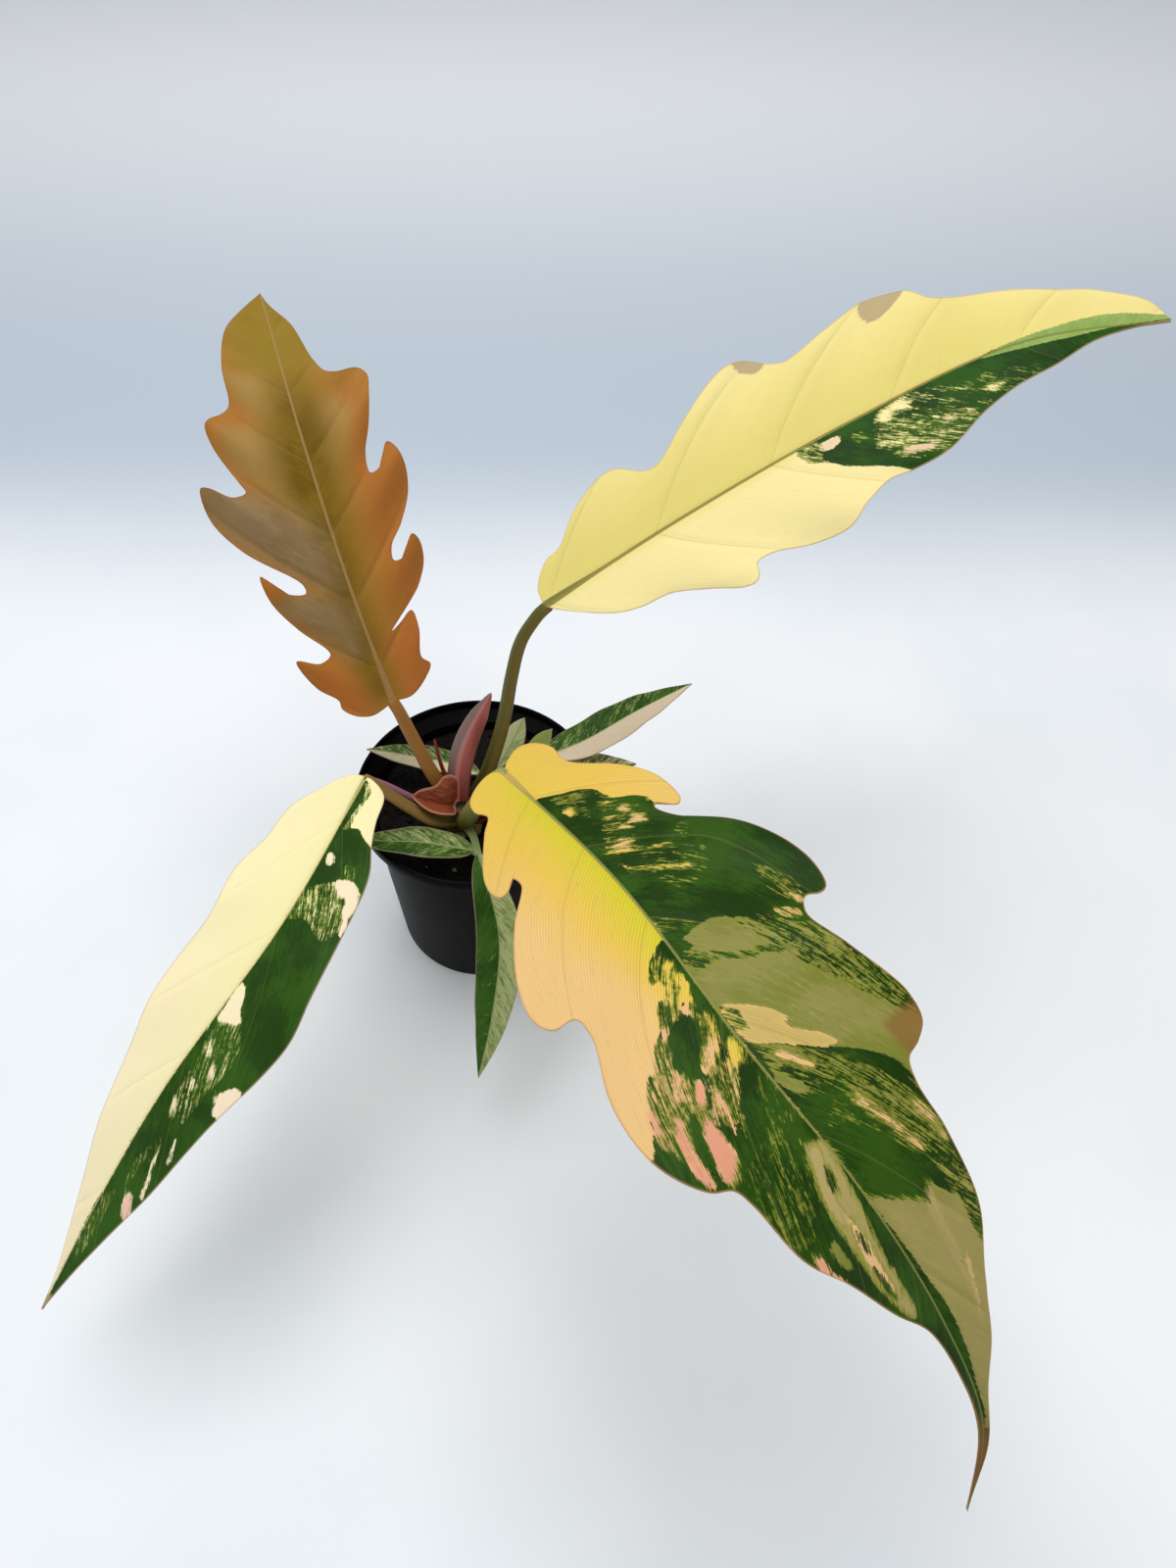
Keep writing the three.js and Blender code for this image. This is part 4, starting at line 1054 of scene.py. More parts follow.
yellowLeaf = {
    "midrib": [(27, 4, 164), (71, 18, 190), (120, 34, 214), (168, 48, 232), (213, 54, 237)],
    "roll": (-18, -15), "fold": 0.12, "droop": 0.002, "sweep": 0.8, "step": 5.5, "rowStep": 0.8,
    "wave": {"height": 1.5, "length": 40, "left": 0.6, "right": 2.2, "reach": 28},
    "veins": {"left": (0.9, 0.012, 0), "right": (0.8, 0.012, 0)},
    "quilt": 0.35, "inks": "yellow",
    "tint": yellowTintAndPaintedLight,
    "left": [
        (1, -6.5), (7.5, -13), (13, -14), (23.5, -22), (37, -27.5), (41.5, -27), (48.5, -21),
        (52.5, -20), (65, -27), (79.5, -35.5), (86, -38), (91, -37.5), (98.5, -30.5), (102, -28.5),
        (117, -32), (131.5, -36), (141.5, -32.5), (146, -25.5), (151, -23), (163.5, -20.5),
        (178, -15.5), (190, -14), (204, -8),
    ],
    "right": [
        (5, 5), (19, 16), (27, 19), (37, 20.5), (48, 26.5), (57.5, 32.5), (61, 33), (63, 31),
        (64, 27.5), (69, 26.5), (82, 30.5), (93, 32), (101, 28), (110, 24), (117, 24.5),
        (129.5, 24.5), (144, 18), (154, 15), (169, 12), (185, 4.5), (199, 0.9),
    ],
}
yellowLeaf["marks"] = [
    ("green", [
        (91.3, 0), (92.8, 6.2), (95.8, 8), (101.3, 13.8), (106.9, 17.3), (111.8, 20.2), (115.4, 23.4),
        (118.8, 27), (150, 40), (225, 25), (225, 0), (180, 0), (130, 0),
    ], {"ragged": 0.4, "half": 1}),
    ("mixed", [
        (91, 0), (98.5, 2.2), (95.2, 8.2), (92.1, 6.4), (90.2, 2),
    ], {"level": 0.1, "amount": 1.3, "tint": -1, "soft": 1}),
    ("mixed", [
        (123.5, 1), (133.7, 2.4), (141.6, 9.2), (143.8, 12.4), (139.2, 14.2), (132.6, 11.4), (126.7, 7),
    ], {"level": 0.1, "amount": 1.7, "tint": -0.6}),
    ("mixed", [
        (114, 3), (126, 1), (140, 3), (152, 9), (150, 16), (141, 22), (128, 27), (117, 22), (109, 11),
    ], {"level": 1.1, "amount": 1.8, "tint": -0.8, "soft": 3}),
    ("mixed", [
        (106.5, 4.2), (110.9, 5.4), (110.5, 9.5), (106, 8),
    ], {"level": 0.3, "amount": 1.2, "tint": -0.4}),
    ("mixed", [
        (115.1, 6.9), (123.3, 9.7), (130.8, 15.6), (127.5, 20.2), (115.3, 16.8), (111.9, 11.3),
    ], {"level": 0.25, "amount": 1.6, "tint": -0.9, "soft": 2}),
    ("mixed", [
        (122.2, 17.1), (131, 13.5), (142.3, 16.2), (136.6, 21.4), (127.9, 24), (121.9, 21.6),
    ], {"level": 0.35, "amount": 1.5, "tint": -1, "pink": 0.4}),
    ("light", [
        (117.6, 1.6), (121.5, 1.2), (125.7, 1.8), (126.4, 3.9), (124.6, 5.7), (120.8, 4.9), (118, 6),
        (116.3, 4.8),
    ], {"tint": -1}),
    ("light", [
        (97.2, 2.7), (103.3, 2.5), (103.9, 3.9), (100.6, 5.6), (96.7, 4.5),
    ], {"tint": -1, "pink": 0.7}),
    ("light", [
        (115.1, 17), (124.4, 19.4), (129.4, 21.6), (121.9, 21.1), (116.8, 18.9),
    ], {"tint": -1, "pink": 0.8}),
    ("light", [(147.4, 10.7), (152.4, 11.4), (151.4, 12.7), (147.3, 11.7)], {"tint": -1}),
    ("mottled", [
        (147.1, 4.5), (163.9, 7.9), (180.9, 4.1), (187.4, 3.4), (164.1, 14.9), (152.3, 16.5), (147.5, 14.1),
    ], {"level": -1.1, "amount": 1.4, "soft": 3}),
    # the green tip, and a band of paler green along the midrib
    ("green", [
        (150.7, 0.3), (160, -1), (178, -2.6), (193, -2.6), (214, 0), (214, 6), (180, 8), (156, 4),
    ], {"ragged": 0.2}),
    ("olive", [
        (150.7, 0.4), (159.9, -1), (173, -2.4), (185.9, -4.1), (194.4, -4.2), (205.8, -2.4), (210.6, -0.8),
        (193.4, -0.1), (178.1, 2.2), (164.3, 2.3),
    ], {"ragged": 0.15}),
    # dry patches on the upper margin
    ("dry", [
        (129.2, -35.4), (133.3, -36.6), (139.4, -35), (141.6, -32.7), (138.2, -30.1), (133.3, -28),
        (129.7, -28), (128, -31.1),
    ]),
    ("dry", [(88.2, -38.5), (93.2, -37.6), (96.2, -33.1), (93.5, -31.4), (89.2, -33.5)]),
]


# A little lime by the midrib, and warm towards the margins and the tip
def creamTint(x, y):
    return 0.2 - 0.4 * np.clip(np.abs(y) / 14, 0, 1) - 0.8 * np.clip((x - 60) / 120, 0, 1)


creamLeaf = {
    "midrib": [(-35, -17, 103), (-54, -77, 101), (-83, -124, 85), (-100, -151, 68), (-118, -177, 44)],
    "roll": (0, 0), "fold": 0.15, "droop": 0.003, "sweep": 0.8, "step": 6.5, "rowStep": 0.8,
    "wave": {"height": 0.9, "length": 45, "left": 0, "right": 1.5, "reach": 20},
    "veins": {"left": (2.0, 0.02, 0), "right": (1.6, 0.02, 0)},
    "quilt": 0.15, "inks": "cream",
    "tint": creamTint,
    "left": [
        (1.5, -4), (7, -10), (18.5, -12), (28, -14.5), (38.5, -18.5), (58, -20.5), (78, -24),
        (90, -26.5), (101.5, -25.5), (116, -23), (134, -18), (150, -14.5), (166, -9), (180, -4.5),
    ],
    "right": [
        (1, 4.5), (4.5, 8), (11.5, 12.5), (21, 18), (35, 20.5), (43.5, 23), (50.5, 24), (70, 22),
        (88, 23), (101, 21.5), (116, 17.5), (137, 13), (159, 7), (181, 2),
    ],
}
creamLeaf["marks"] = [
    ("green", [
        (1.8, 0), (2.6, -2.6), (9.9, -4.2), (14.8, -3.2), (19.5, -3), (22.7, -3.6), (22.6, -7),
        (26.5, -11.4), (29.4, -15.4), (32, -24), (60, -34), (130, -36), (200, -20), (212, 0), (120, 0),
        (60, 0),
    ], {"ragged": 0.45, "half": -1}),
    ("mixed", [
        (3, -1), (10, -3.6), (17, -2.8), (24, -2), (24, -4), (15, -4.4), (6, -5),
    ], {"level": 0.2, "amount": 1.0, "soft": 1}),
    ("light", [
        (44.8, -8.6), (42.3, -10.8), (42.8, -15.4), (45.4, -18.2), (48.4, -19.4), (52.5, -19.7),
        (54.4, -19.1), (55.2, -17.1), (52.8, -15.3), (51.7, -15.9), (49, -15.7), (48.4, -12.3),
        (47.2, -10.3),
    ], {"tint": -0.9, "ragged": 0.7}),
    ("light", [(56.2, -17.6), (55.2, -19.6), (59.9, -20.4), (59.7, -19.2)], {"tint": -0.9, "ragged": 0.6}),
    ("light", [
        (34.3, -1.6), (34, -3.4), (37.6, -5), (38.8, -3.6), (36.3, -1.8),
    ], {"tint": -0.9, "ragged": 0.9}),
    ("mixed", [
        (48.3, -1), (44.5, -6.7), (49.7, -13.9), (55.5, -17.4), (62.8, -18), (64.2, -14.5), (60.1, -6.8),
        (60.6, -2.5), (60.4, -0.8), (54.2, -0.7),
    ], {"level": 0.45, "amount": 1.5, "soft": 2}),
    ("mixed", [(36.5, -9), (42, -10), (41, -14.5), (37, -13)], {"level": 0.7, "amount": 1.4}),
    ("light", [
        (84, -0.6), (85.2, -3.2), (87.8, -5), (91.2, -6.6), (94.1, -9.3), (96.3, -7.7), (97.4, -4.2),
        (97.6, -1.6), (91.7, -0.7),
    ], {"tint": -0.6}),
    ("mixed", [
        (98.4, -1.6), (95.4, -9), (95.7, -12.4), (101.6, -16.8), (112.7, -16.9), (120, -15), (128, -13.7),
        (127.8, -5), (118, -3.5), (108, -3),
    ], {"level": 0.75, "amount": 1.6, "tint": -0.8, "soft": 3}),
    ("light", [(104.3, -3.6), (103, -5.1), (104.8, -7.2), (106.8, -7.5), (106.3, -5.3)], {"tint": -1}),
    ("light", [(109.2, -9.4), (107.7, -10.8), (110.9, -13.4), (111.7, -12)], {"tint": -1, "pink": 0.3}),
    ("light", [(115.6, -6.4), (114.2, -7.7), (116.5, -9.4), (117.2, -8)], {"tint": -1}),
    ("light", [(122.1, -5.2), (121.7, -6.6), (125.4, -8.4), (126, -7.3)], {"tint": -1, "pink": 0.3}),
    ("light", [
        (114.3, -17.6), (108.9, -22), (111.8, -25), (119, -24), (119.8, -20.1), (117, -18.4),
    ], {"tint": -1, "pink": 0.1, "ragged": 0.7}),
    ("line", [(139.2, -10.4), (145.7, -12.5), (149.8, -13.1)], {"width": 0.5, "tint": -1, "ragged": 0.9}),
    ("line", [(134.5, -9.8), (139.7, -10.8)], {"width": 0.4, "tint": -1, "ragged": 0.9}),
    ("line", [(131.5, -13.6), (134.8, -14.2), (138, -15)], {"width": 0.5, "tint": -1, "ragged": 0.9}),
    ("light", [
        (151.5, -8.2), (150.6, -9.6), (155, -12.6), (158.4, -12.4), (156.5, -9.8),
    ], {"tint": -1, "pink": 0.9, "ragged": 1}),
    ("mixed", [
        (155.7, -0.7), (151.2, -4.2), (162.2, -5.6), (174, -4.8), (180, -2.6), (172.7, -0.6),
    ], {"level": 0.7, "amount": 1.1, "soft": 2}),
    ("mixed", [
        (140, -4), (132, -9), (142, -9), (152, -7), (150, -4.5),
    ], {"level": 0.9, "amount": 1.3, "soft": 3}),
    ("dry", [(193, 3), (192, -3), (205, -2), (205, 3)], {"soft": 4}),
]


# Lime towards the tip, and warm away from the midrib
def caramelTint(x, y):
    return 1.2 * np.clip((x - 92) / 32, 0, 1) - 0.9 * np.clip((np.abs(y) - 6) / 12, 0, 1)


caramelLeaf = {
    "midrib": [(-27, 6, 117), (-41, 29, 152), (-57, 63, 189), (-73, 105, 213)],
    "roll": (0, 0), "fold": 0.1, "droop": 0.0015, "sweep": 1, "step": 5, "rowStep": 0.8,
    "wave": {"height": 2, "length": 25, "left": 1.57, "right": 1.2, "reach": 25},
    "veins": {"left": (0.9, 0.006, 0), "right": (0.9, 0.006, 0)},
    "quilt": 0.45, "inks": "caramel", "ragged": 0.5,
    "tint": caramelTint,
    "left": [
        (-1.5, -4.5), (-2, -9), (0, -14), (4, -17.5), (7, -17.5), (14, -23), (25, -26.5),
        (21.5, -19), (23, -14.5), (34, -21.5), (45, -27), (53, -27.5), (45.5, -21), (44, -15),
        (47, -15), (62, -30), (74, -36.5), (83.5, -36.5), (83, -34), (78.5, -27.5), (79.5, -23),
        (83, -24), (97, -29), (102.5, -29), (105.5, -23.5), (108.5, -20), (120.5, -19),
        (133, -16), (141, -9.5),
    ],
    "right": [
        (-0.5, 7), (3.5, 14), (7.5, 17.5), (11, 15), (21, 17.5), (27.5, 17.5), (24.5, 12), (23, 8.5),
        (30, 17.5), (35, 23), (43, 27.5), (50, 27.5), (53, 25.5), (46, 20), (46, 17), (51, 18),
        (57.5, 23.5), (68, 29.5), (77, 30.5), (85.5, 27), (77.5, 22), (76.5, 18.5), (83.5, 19),
        (92, 22.5), (102, 25.5), (110, 27), (114, 25), (113, 17), (114, 13.5), (119, 11),
        (134, 7), (143.5, 1.5),
    ],
}
caramelLeaf["marks"] = [
    ("green", [
        (2, -5), (20, -9), (45, -10), (75, -12), (100, -10), (112, -4), (112, 4), (95, 9), (70, 8), (40, 4),
        (15, 2), (2, 1),
    ]),
    ("olive", [(42, -5), (48, -14), (60, -26), (73, -36), (84, -37), (82, -28), (74, -14), (64, -5)]),
    ("olive", [(20, -6), (26, -12), (34, -19), (42, -24), (44, -18), (40, -8), (34, -4)]),
    ("tone", [(64, -6), (78, -16), (92, -26), (100, -24), (98, -12), (90, -5)], {"pink": -0.85, "soft": 7}),
    ("tone", [(92, -4), (104, -13), (116, -18), (118, -10), (106, -3)], {"pink": -0.75, "soft": 7}),
    ("tone", [(70, 5), (86, 14), (98, 19), (106, 12), (96, 4)], {"pink": -0.6, "soft": 7}),
    ("tone", [(0, -6), (0, -22), (14, -24), (18, -8)], {"pink": 0.5, "soft": 7}),
    ("tone", [(-2, 4), (-2, 20), (26, 20), (22, 6)], {"pink": 0.6, "soft": 7}),
]


# Small leaves low round the stem: stalk, midrib, greatest width and its place, and each half's marks
smallForm = {
    "roll": (0, 0), "fold": 0.25, "droop": 0.02, "sweep": 0.8, "step": 5, "rowStep": 0.55,
    "wave": {"height": 0.3, "length": 18, "left": 0, "right": 2, "reach": 6},
    "veins": {"left": (1.4, 0.03, 0), "right": (1.4, 0.03, 0)}, "quilt": 0.12, "inks": "small",
    "stalkRadii": (1.7, 1.2), "stalkInks": ("#5A6A34", "#8A9A60", "#A0A878", "#6A7A44"),
    "markReach": 40,     # how far a half's mark runs past the blade
}
smallLeaves = {
    "right_back": {
        "stalk": [(-1, -11, 77), (12, -1, 82), (25, 8, 86)],
        "midrib": [(25, 8, 86), (41, 16, 87.5), (59, 29, 89), (82, 48, 86)],
        "width": 17, "widest": 0.35,
        "green": (1.2, -6), "tint": (0, -1), "pink": (0, 0.35), "amount": 1.6,
    },
    "right": {
        "stalk": [(-1, -13, 74), (10, -9, 79), (21, -3, 81)],
        "midrib": [(21, -3, 81), (41, 5, 83), (60, 11, 80)],
        "width": 15, "widest": 0.45,
        "green": (-0.1, 1.5), "tint": (-1, -1), "pink": (0.3, 0.2), "amount": 1.8,
    },
    "front": {
        "stalk": [(-3, -14, 72), (1, -24, 80), (4, -35, 85)],
        "midrib": [(4, -35, 85), (8, -48, 86), (12.5, -62, 71), (10, -79, 48), (5, -92, 27)],
        "width": 16, "widest": 0.45,
        "green": (-0.7, 1.7), "tint": (0, 0), "pink": (0, 0), "amount": 1.5,
    },
    "front_left": {
        "stalk": [(-5, -15, 71), (-3, -24, 75), (2, -30, 78.5)],
        "midrib": [(2, -30, 78.5), (-16, -29, 81.5), (-33, -29, 82), (-42, -27, 81)],
        "width": 13, "widest": 0.38,
        "green": (1.0, 0.3), "tint": (0.3, -0.4), "pink": (0, 0), "amount": 1.3,
    },
    "left_back": {
        "stalk": [(-4, -10, 73), (0, -1, 76), (2, 6, 78)],
        "midrib": [(2, 6, 78), (-7, 9, 79.5), (-25, 12, 81), (-42, 15, 81)],
        "width": 11.5, "widest": 0.45,
        "green": (-2.0, 0.5), "tint": (-0.8, -1), "pink": (0, 0), "amount": 1.6,
    },
    "back": {
        "stalk": [(-3, -10, 74), (3, -1, 77), (6.5, 5, 79)],
        "midrib": [(6.5, 5, 79), (12.5, 11, 87), (18, 18, 97)],
        "width": 9.5, "widest": 0.6,
        "green": (-1.6, -0.8), "tint": (-0.2, 0), "pink": (0, 0), "amount": 1.2,
    },
    "back_right": {
        "stalk": [(-2, -11, 74), (6, -4, 76), (14, 4, 77)],
        "midrib": [(14, 4, 77), (20, 12, 80), (28, 20, 89)],
        "width": 9, "widest": 0.6,
        "green": (-1.2, -0.5), "tint": (0.8, 0.8), "pink": (0, 0), "amount": 1.2,
    },
}


# The margin of a lance-shaped leaf, widest at the given share of its length
def lanceMargin(length, width, widest, sign):
    rise = widest / (1 - widest)
    peak = widest ** rise * (1 - widest)
    shares = [0.05, 0.15, 0.3, 0.5, 0.7, 0.85, 0.95]
    return [(s * length, sign * width / 2 * s ** rise * (1 - s) / peak) for s in shares]


# Stalks of the large leaves: course from the stem to the blade, radii at both ends, and inks for the foot,
# the upper side, the flanks and the underside
stalks = {
    "caramel": {
        "course": [(-4, -10, 80), (-10, -8, 86), (-14.5, -5, 92), (-19, -1, 101), (-26.5, 6, 117)],
        "radii": (2.8, 2.2), "inks": ("#6A4A1A", "#946428", "#9E6A34", "#7A4E22"),
    },
    "yellow": {
        "course": [
            (-2, -10, 80), (3.5, -5, 87), (8.5, -2, 101), (12.5, 0, 117),
            (15.5, 3, 134), (19, 5, 148), (26.5, 4, 163.5),
        ],
        "radii": (2.9, 2.05), "inks": ("#343A0C", "#5A5A1C", "#7A5E26", "#4A4A16"),
    },
    "marbled": {
        "course": [(-3, -15, 76), (0, -20, 87), (6, -29, 108), (12, -40, 130), (16.5, -49, 144.5)],
        "radii": (3.4, 2.5), "inks": ("#6A6A30", "#A0A050", "#8A7A40", "#6A6A34"),
    },
    "cream": {
        "course": [(-6, -14, 76), (-13, -18.5, 81), (-21, -19, 89), (-29, -18.5, 97), (-34.5, -17, 102.5)],
        "radii": (2.6, 1.9), "inks": ("#5A5A1C", "#8A6A34", "#A07840", "#5A4A20"),
    },
}


# Joins rings of points into a closed skin with rounded ends
def skinOf(name, rings, material, along, around):
    rings = np.array(rings)
    count, sides = rings.shape[:2]
    points = rings.reshape(-1, 3).tolist() + [rings[0].mean(0).tolist(), rings[-1].mean(0).tolist()]
    faces = []
    for i in range(count - 1):
        for k in range(sides):
            n = (k + 1) % sides
            faces.append((i * sides + k, i * sides + n, (i + 1) * sides + n, (i + 1) * sides + k))
    top = (count - 1) * sides
    for k in range(sides):
        n = (k + 1) % sides
        faces.append((count * sides, n, k))
        faces.append((count * sides + 1, top + k, top + n))
    mesh = bpy.data.meshes.new(name)
    mesh.from_pydata([[c * mm for c in p] for p in points], [], faces)
    values = np.ones((len(points), 4))
    values[:count * sides, 0] = np.repeat(along, sides)
    values[:count * sides, 1] = np.tile(around, count)
    values[-2:, 0] = (along[0], along[-1])
    values[-2:, 1] = 0.5
    storeLayer(mesh, "along", values)
    return makePiece(name, mesh, material, 60)


# A stalk's groove, and how it narrows and dips under its blade: shares of its radius, and lengths in mm
stalkForm = {"groove": 0.18, "tail": 1.6, "smallest": 0.02, "dip": 0.85, "dipLength": 7}


def ringTurns(sides):
    return 2 * math.pi * np.arange(sides) / sides


# A grooved, tapered stalk. It runs on a little under its blade, so that the two grow together.
def makeStalk(name, stalk, material, sides=24, spacing=1.2, runOn=2.0):
    course = Course(stalk["course"])
    form = stalkForm
    first, last = stalk["radii"]
    total = course.length + runOn
    outward = np.array(stalk["course"][-1], float) - np.array(stalk["course"][0], float)
    inner = unit(np.array([-outward[0], -outward[1], 0]))
    inner[2] = 1
    turns = ringTurns(sides)
    shares = np.linspace(0, 1, math.ceil(total / spacing) + 1)
    rings = []
    for share in shares:
        centre, along = course.read(share * total)
        left = (1 - share) * total
        top = unit(inner - along * (inner @ along))
        side = np.cross(along, top)
        radius = first + (last - first) * min(1, share * total / course.length)
        radius = radius * math.sqrt(max(form["smallest"], 1 - max(0, 1 - left / form["tail"]) ** 2))
        centre = centre - top * form["dip"] * last * max(0, 1 - left / form["dipLength"]) ** 2
        reach = radius * (1 - form["groove"] * np.maximum(0, np.cos(turns)) ** 4)
        rings.append(centre + np.outer(reach * np.cos(turns), top) + np.outer(reach * np.sin(turns), side))
    return skinOf(name, rings, material, shares, turns / (2 * math.pi))


# A stalk's finish: one ink at its foot, one on its upper side, one along its flanks and one below
def makeStalkMaterial(name, inks, roughness=0.42):
    made, tree, shader = newMaterial(name)
    foot, body, sides, under = inks
    along, around = readLayer(tree, "along")[:2]
    spot = put(tree, "TexCoord").outputs["Object"]
    turn = calc(tree, "MULTIPLY", around, 2 * math.pi)
    upper = calc(tree, "COSINE", turn)
    flank = calc(tree, "ABSOLUTE", calc(tree, "SINE", turn))
    fibres = vector(tree, calc(tree, "MULTIPLY", flank, 9.0), calc(tree, "MULTIPLY", along, 14.0), upper)
    streaks = cloud(tree, fibres, 2.0, 3.0)
    climb = ramp(tree, calc(tree, "MULTIPLY_ADD", streaks, 0.2, along), 0.15, 0.6)
    colour = wash(tree, ink(foot), climb, body)
    colour = wash(tree, colour, ramp(tree, flank, 0.55, 1.0), sides, 0.8)
    colour = wash(tree, colour, ramp(tree, upper, 0.1, -0.6), under, 0.7)
    flecks = ramp(tree, cloud(tree, spot, 900.0, 2.0), 0.62, 0.75)
    colour = wash(tree, colour, flecks, sides, 0.3)
    rough = calc(tree, "MULTIPLY_ADD", streaks, 0.2, roughness - 0.1)
    finishSurface(tree, shader, "stalk", colour, rough, streaks)
    return made


# A small leaf: its blade with one mixed mark over each half, and its stalk
def makeSmallLeaf(name, facts, bladeMaterial, stalkMaterial):
    leaf = dict(smallForm, midrib=facts["midrib"])
    length = Course(leaf["midrib"]).length
    far = smallForm["markReach"]
    whole = [(-far, -far), (-far, far), (length + far, far), (length + far, -far)]
    leaf["marks"] = []
    for i, (side, half) in enumerate((("left", -1), ("right", 1))):
        leaf[side] = lanceMargin(length, facts["width"], facts["widest"], half)
        mark = {"half": half, "soft": 0.2, "level": facts["green"][i], "amount": facts["amount"]}
        mark.update(tint=facts["tint"][i], pink=facts["pink"][i])
        leaf["marks"].append(("mixed", whole, mark))
    blade = makeBlade("small_blade_" + name, leaf, bladeMaterial, columns=10, rib=0.5)
    stalkFacts = {"course": facts["stalk"], "radii": smallForm["stalkRadii"]}
    stalk = makeStalk("small_stalk_" + name, stalkFacts, stalkMaterial, sides=16)
    settle(blade, "small_leaf_" + name)
    settle(stalk, "small_leaf_" + name)


# Pot: a plain nursery pot turned from a profile, with a lip and drain holes
pot = {
    "rimRadius": 44.5, "height": 78.5, "baseRadius": 34.3, "wallRadius": 39.2, "wall": 1.3, "floor": 1.8,
    "lipHeight": 4.4, "shoulder": 2.6, "rounding": 0.6, "sides": 144,
    "drainHoles": 6, "drainRadius": 3.5, "drainCircle": 22, "ink": "#070605", "sheen": "#0E0B0A",
}


def makePotMaterial():
    made, tree, shader = newMaterial("potPlastic")
    spot = put(tree, "TexCoord").outputs["Object"]
    scuffs = cloud(tree, spot, 60.0, 4.0, 0.6)
    colour = wash(tree, ink(pot["ink"]), ramp(tree, scuffs, 0.35, 0.7), pot["sheen"])
    rough = calc(tree, "MULTIPLY_ADD", scuffs, 0.2, 0.35)
    finishSurface(tree, shader, "pot", colour, rough, cloud(tree, spot, 1500.0, 2.0))
    return made


# Leaves edit mode with all faces pointing outwards
def finishEditing():
    bpy.ops.mesh.select_all(action="SELECT")
    bpy.ops.mesh.normals_make_consistent(inside=False)
    bpy.ops.object.mode_set(mode="OBJECT")


def makePot():
    top = pot["height"]
    lipFoot = top - pot["lipHeight"]
    wallTop = lipFoot - pot["shoulder"]
    curve = pot["rounding"]
    rim = pot["rimRadius"]
    wall = pot["wall"]
    profile = [
        (pot["baseRadius"] - curve * 0.3, curve * 0.2), (pot["baseRadius"], curve),
        (pot["wallRadius"], wallTop), (rim - curve, lipFoot - 0.1), (rim - 0.1, lipFoot + curve * 0.5),
        (rim, lipFoot + curve), (rim, top - curve * 1.2), (rim - 0.2, top - curve * 0.4),
        (rim - curve, top), (rim - wall, top),
        (rim - wall - curve / 2, top - curve), (rim - wall - curve / 2, lipFoot + wall),
        (pot["wallRadius"] - wall, wallTop + wall), (pot["baseRadius"] - wall, pot["floor"]),
    ]
    deselect()
    radius, level = pot["baseRadius"] - curve, 0.0
    bpy.ops.mesh.primitive_circle_add(vertices=pot["sides"], radius=radius * mm, fill_type="NGON")
    piece = bpy.context.active_object
    piece.name = "nursery_pot"
    bpy.ops.object.mode_set(mode="EDIT")
    bpy.ops.mesh.select_all(action="SELECT")
    for nextRadius, nextLevel in profile:
        climb = Vector((0, 0, nextLevel - level)) * mm
        bpy.ops.mesh.extrude_region_move(TRANSFORM_OT_translate={"value": climb})
        share = nextRadius / radius
        bpy.ops.transform.resize(value=(share, share, 1), center_override=(0, 0, nextLevel * mm))
        radius, level = nextRadius, nextLevel
    finishEditing()
    for i in range(pot["drainHoles"]):
        turn = 2 * math.pi * i / pot["drainHoles"]
        deselect()
        spot = Vector((math.cos(turn), math.sin(turn), 0)) * pot["drainCircle"] * mm
        bpy.ops.mesh.primitive_cylinder_add(
            vertices=24, radius=pot["drainRadius"] * mm, depth=0.01, location=spot)
        drill = bpy.context.active_object
        cut = piece.modifiers.new("drain", "BOOLEAN")
        cut.operation = "DIFFERENCE"
        cut.object = drill
        takeUp(piece)
        bpy.ops.object.modifier_apply(modifier=cut.name)
        bpy.data.objects.remove(drill)
    piece.data.materials.append(makePotMaterial())
    smooth(piece, 35)
    settle(piece, "pot")


# Soil: dark, damp and loose, its inks darkened further as painted shade from the leaves above, with bark
# crumbs and a few pale ones
soil = {
    "level": 69, "bottom": 2.1, "clearance": 0.5, "dome": 1.2, "lumps": 0.7, "roughness": 0.55, "rings": 26,
    "crumbs": 420, "crumbSizes": (0.5, 1.5), "paleCrumbs": 9, "paleSizes": (0.7, 1.2),
    "dark": "#0D0A08", "brown": "#241811", "bark": "#4A3A2A", "pale": "#8E8E70", "paleShade": "#5A5A44",
    "sides": 96,
}


# The soil's radius at its bottom and at its top, a little clear of the pot's wall
def soilRadii():
    outer = pot["baseRadius"] - pot["wall"] - soil["clearance"]
    slope = (pot["wallRadius"] - pot["baseRadius"]) / (pot["height"] - pot["lipHeight"] - pot["shoulder"])
    return outer, outer + slope * (soil["level"] - pot["floor"])


def soilHeight(x, y):
    inward = 1 - math.hypot(x, y) / soilRadii()[1]
    lump = math.sin(0.31 * x + 1.3) * math.cos(0.27 * y) + math.sin(0.22 * (x + y))
    rough = soil["roughness"] * noise.fractal(Vector((x, y, 3)) * 0.35, 0.9, 2.1, 4)
    uneven = (soil["lumps"] * lump + rough) * min(1, 3 * inward + 0.05)
    return soil["level"] + soil["dome"] * min(1, 1.6 * inward) + uneven


def makeSoilMaterial():
    made, tree, shader = newMaterial("pottingMix")
    spot = put(tree, "TexCoord").outputs["Object"]
    grains = cloud(tree, spot, 700.0, 4.0, 0.7)
    clods = cloud(tree, spot, 160.0, 3.0)
    # the dark and brown inks hold painted shade as well as the damp soil's own dark colour
    colour = wash(tree, ink(soil["dark"]), ramp(tree, grains, 0.42, 0.7), soil["brown"])
    colour = wash(tree, colour, ramp(tree, grains, 0.68, 0.78), soil["bark"], 0.5)
    finishSurface(tree, shader, "soil", colour, calc(tree, "MULTIPLY_ADD", clods, -0.5, 1.05), grains)
    return made


